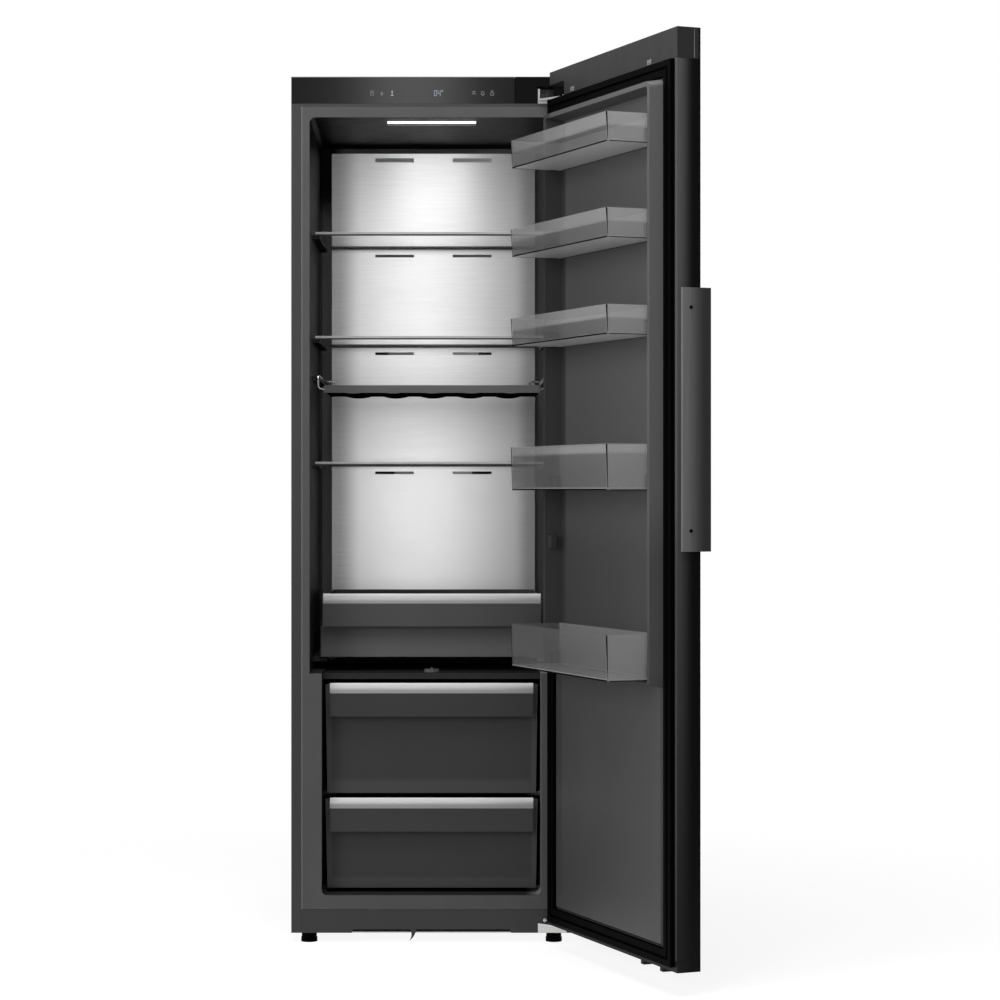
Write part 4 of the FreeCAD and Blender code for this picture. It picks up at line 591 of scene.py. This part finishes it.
FINISHES = {
    "cabinet_grey": painted("cabinet_grey", 0.032, 0.42, Specular_IOR_Level=0.35),
    "liner_dark": moulded("liner_dark", 0.080, 0.45, Specular_IOR_Level=0.04, shade=liner_painted_light_and_shade),
    "foam": rigid_foam(),
    "galvanised": galvanised(),
    "moulding_dark": moulded("moulding_dark", 0.032, 0.45, Specular_IOR_Level=0.3),
    "gloss_dark": gloss_dark(),
    "board_green": board_green(),
    "diffuser": lamp_diffuser(),
    "panel_steel": panel_steel(),
    "white_plastic": moulded("white_plastic", 0.55, 0.45, spread=0.06),
    "coil_aluminium": zinc("coil_aluminium", 0.70, 0.36),
    "black_steel": painted("black_steel", 0.012, 0.35, Coat_Weight=0.3),
    "copper": copper_tube(),
    "rubber": moulded("rubber", 0.0012, 0.62, pore=0.0009, Specular_IOR_Level=0.02),
    "zinc": zinc(),
    "glass": shelf_glass(),
    "trim_grey": moulded("trim_grey", 0.36, 0.30, shade=trim_tones_with_painted_shade),
    "wire_chrome": zinc("wire_chrome", 0.85, 0.14),
    "tray_grey": moulded("tray_grey", 0.105, 0.38, Specular_IOR_Level=0.0, shade=tray_painted_shade),
    "smoked": drawer_smoke(),
    "bin_clear": bin_clear("bin_clear", 0.55),
    "pull_grey": moulded("pull_grey", 0.022, 0.34, shade=pull_painted_highlight),
    "door_dark": door_dark(),
    "lining_grey": moulded("lining_grey", 0.060, 0.45, Specular_IOR_Level=0.35, shade=lining_painted_light_and_shade),
    "handle_grey": handle_grey(),
}
OWN_FINISHES = {
    "drawer_cover": moulded("cover_dark", 0.012, 0.45, Specular_IOR_Level=0.25),
    "door_top_cap": moulded("cap_dark", 0.022, 0.50, Specular_IOR_Level=0.2),
    "hinge_cover": moulded("hinge_cover_dark", 0.003, 0.35, Specular_IOR_Level=0.06),
    "top_hinge": zinc("hinge_zinc", shade=hinge_painted_shade),
    "chill_box": chill_grey(),
    "chill_box_pull": moulded("chill_pull", 0.036, 0.34, shade=pull_painted_highlight),
    "door_bin_fourth": bin_clear("bin_clear_fourth", 0.80),
    "door_bin_bottom": bin_clear("bin_clear_bottom", NO_RIM),
}
CLIP_GREY = moulded("clip_grey", 0.16, 0.40)
LIT_MARKS = lit_mark("lit_marks", (0.13, 0.13, 0.14))
LIT_BRIGHT = lit_mark("lit_bright_mark", (0.50, 0.50, 0.52))
LIT_NUMBER = lit_mark("lit_number", (0.26, 0.30, 0.42))

for node_name, node in NODES.items():
    node.data.materials.clear()
    node.data.materials.append(OWN_FINISHES.get(node_name, FINISHES[SLOTS[node_name]]))


class Fitting:
    """A small piece in millimetres, drawn in the frame or, for the door, where the shut door lies."""

    def __init__(self):
        self.mesh = bmesh.new()

    def block(self, low, high, ease=0.0):
        """A box between two corners with its edges eased."""
        low, high = Vector(low), Vector(high)
        span = Matrix.Diagonal((*(high - low), 1))
        made = bmesh.ops.create_cube(self.mesh, size=1, matrix=Matrix.Translation((low + high) / 2) @ span)
        if ease:
            edges = list(dict.fromkeys(edge for vert in made["verts"] for edge in vert.link_edges))
            bmesh.ops.bevel(self.mesh, geom=edges, offset=ease, segments=2, profile=0.5, affect="EDGES")

    def turned(self, centre, axis, outline, sides=20):
        """A lathe form from pairs of radius and height along an axis."""
        axis = Vector(axis).normalized()
        across = axis.orthogonal().normalized()
        along = axis.cross(across)
        rows = []
        for radius, height in outline:
            middle = Vector(centre) + axis * height
            count = sides if radius else 1
            angles = [math.tau * step / count for step in range(count)]
            rows.append([
                self.mesh.verts.new(middle + (across * math.cos(turn) + along * math.sin(turn)) * radius)
                for turn in angles])
        for lower, upper in zip(rows, rows[1:]):
            for step in range(sides):
                after = step + 1
                corners = [lower[step % len(lower)], lower[after % len(lower)],
                           upper[after % len(upper)], upper[step % len(upper)]]
                self.mesh.faces.new(list(dict.fromkeys(corners)))

    def stroke(self, path, width, lift):
        """A raised line on the front of the display panel, through points of x and z."""
        for (x0, z0), (x1, z1) in zip(path, path[1:]):
            middle = Matrix.Translation(((x0 + x1) / 2, -lift / 2, (z0 + z1) / 2))
            turn = Matrix.Rotation(-math.atan2(z1 - z0, x1 - x0), 4, "Y")
            span = Matrix.Diagonal((math.hypot(x1 - x0, z1 - z0) + width, lift, width, 1))
            bmesh.ops.create_cube(self.mesh, size=1, matrix=middle @ turn @ span)

    def hull(self, corners):
        """The solid that wraps these corners."""
        bmesh.ops.convex_hull(self.mesh, input=[self.mesh.verts.new(corner) for corner in corners])

    def ride(self, name, body, slot, finish=None, place=Matrix.Identity(4)):
        """Make the fitting a piece of its own that moves with a body."""
        self.mesh.transform(place @ Matrix.Scale(MM, 4))
        bmesh.ops.recalc_face_normals(self.mesh, faces=self.mesh.faces[:])
        mesh = bpy.data.meshes.new(name)
        self.mesh.to_mesh(mesh)
        self.mesh.free()
        mesh.materials.append(finish or FINISHES[slot])
        piece = bpy.data.objects.new(name, mesh)
        bpy.context.scene.collection.objects.link(piece)
        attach(piece, body)


BAFFLE_SPANS = ((-137, -46), (46, 137))
BAFFLE_FACE, BAFFLE_BACK = 468.2, 469.4
BAFFLE_FOOT, BAFFLE_TOP = 1505, 1521
LOUVRE_LEVELS = (1509, 1513, 1517)
LOUVRE_FACE, LOUVRE_BACK = 467.6, 468.6
LOUVRE_HALF = 0.8
LOUVRE_SHORT = 2


def slot_baffles():
    """Louvred plates set back in the second pair of air slots."""
    fitting = Fitting()
    for start, end in BAFFLE_SPANS:
        fitting.block((start, BAFFLE_FACE, BAFFLE_FOOT), (end, BAFFLE_BACK, BAFFLE_TOP), ease=0.3)
        for level in LOUVRE_LEVELS:
            fitting.block((start + LOUVRE_SHORT, LOUVRE_FACE, level - LOUVRE_HALF),
                          (end - LOUVRE_SHORT, LOUVRE_BACK, level + LOUVRE_HALF), ease=0.2)
    fitting.ride("slot_baffles", "cabinet", "white_plastic", CLIP_GREY)


# Marks on the display: for the middle of each mark, its strokes as points of x and z.
MARK_LEVEL = 1819.5
MARK_SCALE = 0.8
MARK_LINE = 1.2
MARK_LIFT = 0.25
MARKS_LEFT = {
    -127: [[(-4, -6), (4, -6), (4, 6), (-4, 6), (-4, -6)], [(-4, 1), (4, 1)]],
    -106: [[(-4, -2), (4, -2)], [(-2, -6), (2, 3)], [(2, -6), (-2, 3)]],
}
MARK_SET = {-84: [[(0, -4), (0, 6)], [(-3, -6), (3, -6)], [(-1.5, 5), (1.5, 5)]]}
MARKS_RIGHT = {
    91: [[(0, 0), (0, 6)], [(0, 0), (5, -3)], [(0, 0), (-5, -3)], [(-4, 4), (4, 4)]],
    110: [[(-4, -4), (-2.5, 4), (2.5, 4), (4, -4), (-4, -4)], [(-1, -6), (1, -6)]],
    130: [[(-4, -6), (4, -6), (4, 1), (-4, 1), (-4, -6)], [(-2.5, 1), (-2.5, 6), (2.5, 6), (2.5, 1)]],
}
NUMBER = {
    8.5: [[(-3, -7), (3, -7), (3, 7), (-3, 7), (-3, -7)]],
    16.5: [[(-3, 7), (-3, -1), (3, -1)], [(3, 7), (3, -7)]],
    23: [[(-1.5, 4), (1.5, 4), (1.5, 7), (-1.5, 7), (-1.5, 4)]],
}


def display_marks(name, marks, finish):
    """Lit strokes on the display panel."""
    fitting = Fitting()
    for middle, paths in marks.items():
        for path in paths:
            points = [(middle + x * MARK_SCALE, MARK_LEVEL + z * MARK_SCALE) for x, z in path]
            fitting.stroke(points, MARK_LINE, MARK_LIFT)
    fitting.ride(name, "cabinet", "gloss_dark", finish)


BIN_FLARE = 3
BIN_ROUND = 3
BIN_LINE = 2.4
BIN_PROUD = 0.4
CORNER_FOOT_HALF = 0.4
CORNER_TOP_HALF = 1.5
CORNER_BELOW_RIM = 0.5
CORNER_DEPTH = (-0.5, 0.3)
POCKET_IN = 11.3  # end of a bin to the inner face of its pocket
POCKET_BACK = 2.2
POCKET_FRONT = 21.8
POCKET_TOP = 28.8
POCKET_LINE = 1.8


def bin_edge_shade_strips(name):
    """Dark strips of painted shade along a clear bin's edges: round its foot, down its two front corners and
    round its pockets.
    """
    low, high = shut_box(f"door_bin_{name}")
    foot = high.y - BIN_FLARE
    under = low.z - BIN_PROUD
    pocket_top = low.z + POCKET_TOP
    start, end = low.x + BIN_ROUND, high.x - BIN_ROUND
    fitting = Fitting()
    fitting.block((start, foot - BIN_PROUD, under), (end, foot + BIN_PROUD, low.z + BIN_LINE))
    fitting.block((start, low.y, under), (end, low.y + BIN_LINE, low.z))
    for side, sign in ((low.x, -1), (high.x, 1)):
        near, far = sorted((side - sign * BIN_PROUD, side + sign * BIN_PROUD))
        fitting.block((near, low.y + BIN_ROUND, under), (far, foot - BIN_ROUND, low.z + BIN_LINE / 2))
        out = Vector((sign, 1, 0)).normalized()
        aside = Vector((1, -sign, 0)).normalized()
        corners = []
        for level, front, half in (
                (low.z, foot, CORNER_FOOT_HALF), (high.z - CORNER_BELOW_RIM, high.y, CORNER_TOP_HALF)):
            edge = Vector((side - sign * BIN_ROUND, front - BIN_ROUND, level)) + out * BIN_ROUND
            corners += [edge + aside * way * half + out * depth for way in (-1, 1) for depth in CORNER_DEPTH]
        fitting.hull(corners)
        near, far = sorted((side - sign * (POCKET_IN + BIN_PROUD), side - sign * (POCKET_IN - BIN_PROUD)))
        for line in (POCKET_BACK, POCKET_FRONT - POCKET_LINE):
            fitting.block((near, line, low.z + BIN_LINE), (far, line + POCKET_LINE, pocket_top))
        fitting.block(
            (near, POCKET_BACK, pocket_top - POCKET_LINE), (far, POCKET_FRONT, pocket_top + BIN_PROUD))
    fitting.ride(f"bin_edge_shade_strips_{name}", f"bin_{name}", "bin_clear", FINISHES["rubber"], SWUNG)


CLIP_MIDDLES = (182.5, -178.5)
CLIP_HALF, CLIP_FOOT, CLIP_TOP = 9, 1799, 1809
CLIP_SUNK, CLIP_PROUD = 0.2, 1
PEG_HALF, PEG_FOOT, PEG_TOP = 4, 1802, 1806
PEG_START, PEG_PROUD = 0.8, 2


def cap_clips():
    """Two pale clips that hold the door's top cap on its inner side."""
    inner = shut_box("door_top_cap")[1].y
    fitting = Fitting()
    for middle in CLIP_MIDDLES:
        fitting.block((middle - CLIP_HALF, inner - CLIP_SUNK, CLIP_FOOT),
                      (middle + CLIP_HALF, inner + CLIP_PROUD, CLIP_TOP), ease=0.4)
        fitting.block((middle - PEG_HALF, inner + PEG_START, PEG_FOOT),
                      (middle + PEG_HALF, inner + PEG_PROUD, PEG_TOP), ease=0.3)
    fitting.ride("cap_clips", "door", "trim_grey", CLIP_GREY, SWUNG)


SEAM_PLACE = -47.4
SEAM_ENDS = ((1797, 0.9), (1852, 0.5))  # level and half width
SEAM_DEPTH = (0.2, -0.3)


def cap_seam_highlight():
    """A bright sliver of painted highlight where the cap meets the front panel on the door's free edge."""
    side = shut_box("door_top_cap")[0].x
    fitting = Fitting()
    fitting.hull([(side + depth, SEAM_PLACE + way * half, level) for level, half in SEAM_ENDS
                  for way in (-1, 1) for depth in SEAM_DEPTH])
    fitting.ride("cap_seam_highlight", "door", "zinc", None, SWUNG)


TAB_BASE = (-266, -12, 1742), (-254, -5, 1768)
TAB_LUG = (-263, -6, 1746), (-257, -3.5, 1764)


def lining_tab():
    """A small lug near the top of the lining, by its free edge."""
    fitting = Fitting()
    fitting.block(*TAB_BASE, ease=1.5)
    fitting.block(*TAB_LUG, ease=0.8)
    fitting.ride("lining_tab", "door", "lining_grey", None, SWUNG)


TERMINAL_BODY = (42, 572, 80), (98, 600, 140)
TERMINAL_LID = (40, 598, 78), (100, 604, 142)
TERMINAL_CLIP = (60, 586, 138), (80, 602, 146)
TERMINAL_RIBS = (52, 64, 76, 88)
RIB_HALF, RIB_FOOT, RIB_TOP = 1, 90, 130
RIB_ROOT, RIB_FACE = 603, 605.5


def terminal_box():
    """The cover over the compressor's terminals, with its ribs and clip."""
    fitting = Fitting()
    fitting.block(*TERMINAL_BODY, ease=3)
    fitting.block(*TERMINAL_LID, ease=1.5)
    for rib in TERMINAL_RIBS:
        fitting.block((rib - RIB_HALF, RIB_ROOT, RIB_FOOT), (rib + RIB_HALF, RIB_FACE, RIB_TOP), ease=0.4)
    fitting.block(*TERMINAL_CLIP, ease=1)
    fitting.ride("terminal_box", "cabinet", "black_steel")


SCREW_HEAD = ((0, 0), (1, 0), (1, 0.22), (0.85, 0.42), (0.42, 0.5), (0.34, 0.2), (0, 0.12))  # radius 1


def screws(name, body, slot, places, axis, radius, place=Matrix.Identity(4), finish=None):
    """Screw heads with a sunk recess, seated along an axis."""
    fitting = Fitting()
    for centre in places:
        fitting.turned(centre, axis, [(radius * out, radius * up) for out, up in SCREW_HEAD])
    fitting.ride(name, body, slot, finish, place)


OUTWARD, REARWARD, FREE_EDGE = (0, -1, 0), (0, 1, 0), (-1, 0, 0)  # the way a screw head faces
HANDLE_SIDE = shut_box("door_handle")[0].x
HINGE_PIN = [(281, -50, 1806)]
HANDLE_SCREWS = [(HANDLE_SIDE, -37, 1319), (HANDLE_SIDE, -37, 892)]
BOTTOM_HINGE_SCREWS = [(243, -4.2, 50), (272, -4.2, 50)]
REAR_PANEL_SCREWS = [(side * 288, 610, level) for side in (-1, 1) for level in (300, 660, 1020, 1380, 1760)]

slot_baffles()
display_marks("display_marks_left", MARKS_LEFT, LIT_MARKS)
display_marks("display_mark_set", MARK_SET, LIT_BRIGHT)
display_marks("display_marks_right", MARKS_RIGHT, LIT_MARKS)
display_marks("display_number", NUMBER, LIT_NUMBER)
for bin_name in ("top", "second", "third", "fourth", "bottom"):
    bin_edge_shade_strips(bin_name)
cap_clips()
cap_seam_highlight()
lining_tab()
terminal_box()
screws("hinge_pin_head", "cabinet", "zinc", HINGE_PIN, OUTWARD, radius=3.5)
screws("handle_screws", "door", "handle_grey", HANDLE_SCREWS, FREE_EDGE, radius=3.4, place=SWUNG,
       finish=FINISHES["rubber"])
screws("bottom_hinge_screws", "cabinet", "zinc", BOTTOM_HINGE_SCREWS, OUTWARD, radius=4.5)
screws("rear_panel_screws", "cabinet", "zinc", REAR_PANEL_SCREWS, REARWARD, radius=4)


def lamp(name, place, aim, size, power):
    """A soft studio lamp of this width and height, in metres, that looks at a point."""
    light = bpy.data.lights.new(name, "AREA")
    light.shape = "RECTANGLE"
    light.size, light.size_y = size
    light.energy = power
    holder = bpy.data.objects.new(name, light)
    holder.location = place
    holder.rotation_euler = (Vector(aim) - Vector(place)).to_track_quat("-Z", "Y").to_euler()
    holder.visible_camera = False
    bpy.context.scene.collection.objects.link(holder)


WORLD_FILL = 0.30
ROOM_DIM = 0.22
ROOM_END, BACKDROP_START = -0.5, 0.2  # along +Y, by the direction of a ray


def studio():
    """White backdrop behind the fridge, a dim room before it, and soft lamps at a plain level."""
    world = bpy.data.worlds.new("studio")
    bpy.context.scene.world = world
    graph = Graph(world)
    towards = graph.node("ShaderNodeTexCoord", output="Generated")
    ahead = graph.node("ShaderNodeSeparateXYZ", None, {"Vector": towards}, output="Y")
    backdrop = graph.step(ahead, ROOM_END, BACKDROP_START, ROOM_DIM, 1.0)
    direct = ahead.math("MAXIMUM", graph.ray("Camera"), graph.ray("Transmission"))
    shown = ahead.math("MAXIMUM", direct, graph.ray("Glossy") * backdrop)
    strength = ahead.math("MAXIMUM", shown, (1.0 - graph.ray("Glossy")) * WORLD_FILL)
    light = graph.node("ShaderNodeBackground", None, {"Color": WHITE, "Strength": strength})
    graph.node("ShaderNodeOutputWorld", None, {"Surface": light})
    lamp("front_strip", place=(-0.07, -1.7, 1.70), aim=(-0.06, 0.46, 1.70), size=(0.26, 2.3), power=5.6)
    lamp("ceiling_glow", place=(0.0, 0.09, 1.755), aim=(0.0, 0.42, 1.40), size=(0.19, 0.03), power=0.12)
    lamp("front_left", place=(-2.6, -3.0, 2.0), aim=(0.1, 0.0, 1.0), size=(1.6, 2.0), power=64)
    lamp("overhead", place=(0.0, -1.3, 3.7), aim=(0.0, 0.1, 1.0), size=(1.8, 1.2), power=60)


FLOOR_REACH = 6.0
FLOOR_SHOWN = 0.9
FLOOR_GONE = 2.2
FLOOR_SHARE = 0.65
FLOOR_GLOW = 1.28
PAPER_TOOTH = 0.004


def floor():
    """A plain pale floor that takes the fridge's shadow and runs out into the white backdrop."""
    mesh = bpy.data.meshes.new("floor")
    corners = [(x * FLOOR_REACH, y * FLOOR_REACH, 0) for x, y in ((-1, -1), (1, -1), (1, 1), (-1, 1))]
    mesh.from_pydata(corners, [], [(0, 1, 2, 3)])
    ground = bpy.data.objects.new("floor", mesh)
    bpy.context.scene.collection.objects.link(ground)
    finish = Finish("floor_paper")
    tooth = finish.noise(PAPER_TOOTH, PAPER_TOOTH, PAPER_TOOTH)
    tone = finish.between(tooth, grey(0.80), grey(0.84))
    paper = finish.node("ShaderNodeBsdfDiffuse", None, {"Color": tone})
    white = finish.node("ShaderNodeEmission", None, {"Color": WHITE, "Strength": FLOOR_GLOW})
    lit = finish.node("ShaderNodeMixShader", None, {0: FLOOR_SHARE, 1: paper, 2: white})
    clear = finish.ray("Transmission")
    shown = clear.math("MAXIMUM", clear.math("MAXIMUM", clear, finish.ray("Glossy")), finish.ray("Camera"))
    face = finish.node("ShaderNodeMixShader", None, {0: shown, 1: paper, 2: lit})
    far = finish.node("ShaderNodeVectorMath", {"operation": "LENGTH"}, {0: finish.place}, output="Value")
    gone = finish.step(far, FLOOR_SHOWN, FLOOR_GONE)
    nothing = finish.node("ShaderNodeBsdfTransparent", None, {"Color": WHITE})
    faded = finish.node("ShaderNodeMixShader", None, {0: gone, 1: face, 2: nothing})
    finish.node("ShaderNodeOutputMaterial", None, {"Surface": faded})
    mesh.materials.append(finish.material)


CAMERA_PLACE = (0.0548, -5.540, 0.970)
CAMERA_LEVEL = (math.radians(90), 0, 0)
SENSOR_WIDTH = 36
FOCAL_LENGTH = 93.17
SHIFT_X, SHIFT_Y = 0.043, -0.010


def camera():
    """The viewpoint: far back, level, a little right of the middle."""
    lens = bpy.data.cameras.new("camera")
    lens.sensor_width = SENSOR_WIDTH
    lens.lens = FOCAL_LENGTH
    lens.shift_x = SHIFT_X
    lens.shift_y = SHIFT_Y
    holder = bpy.data.objects.new("camera", lens)
    holder.location = CAMERA_PLACE
    holder.rotation_euler = CAMERA_LEVEL
    bpy.context.scene.collection.objects.link(holder)
    bpy.context.scene.camera = holder


studio()
floor()
camera()
bpy.context.scene.view_settings.view_transform = "Standard"
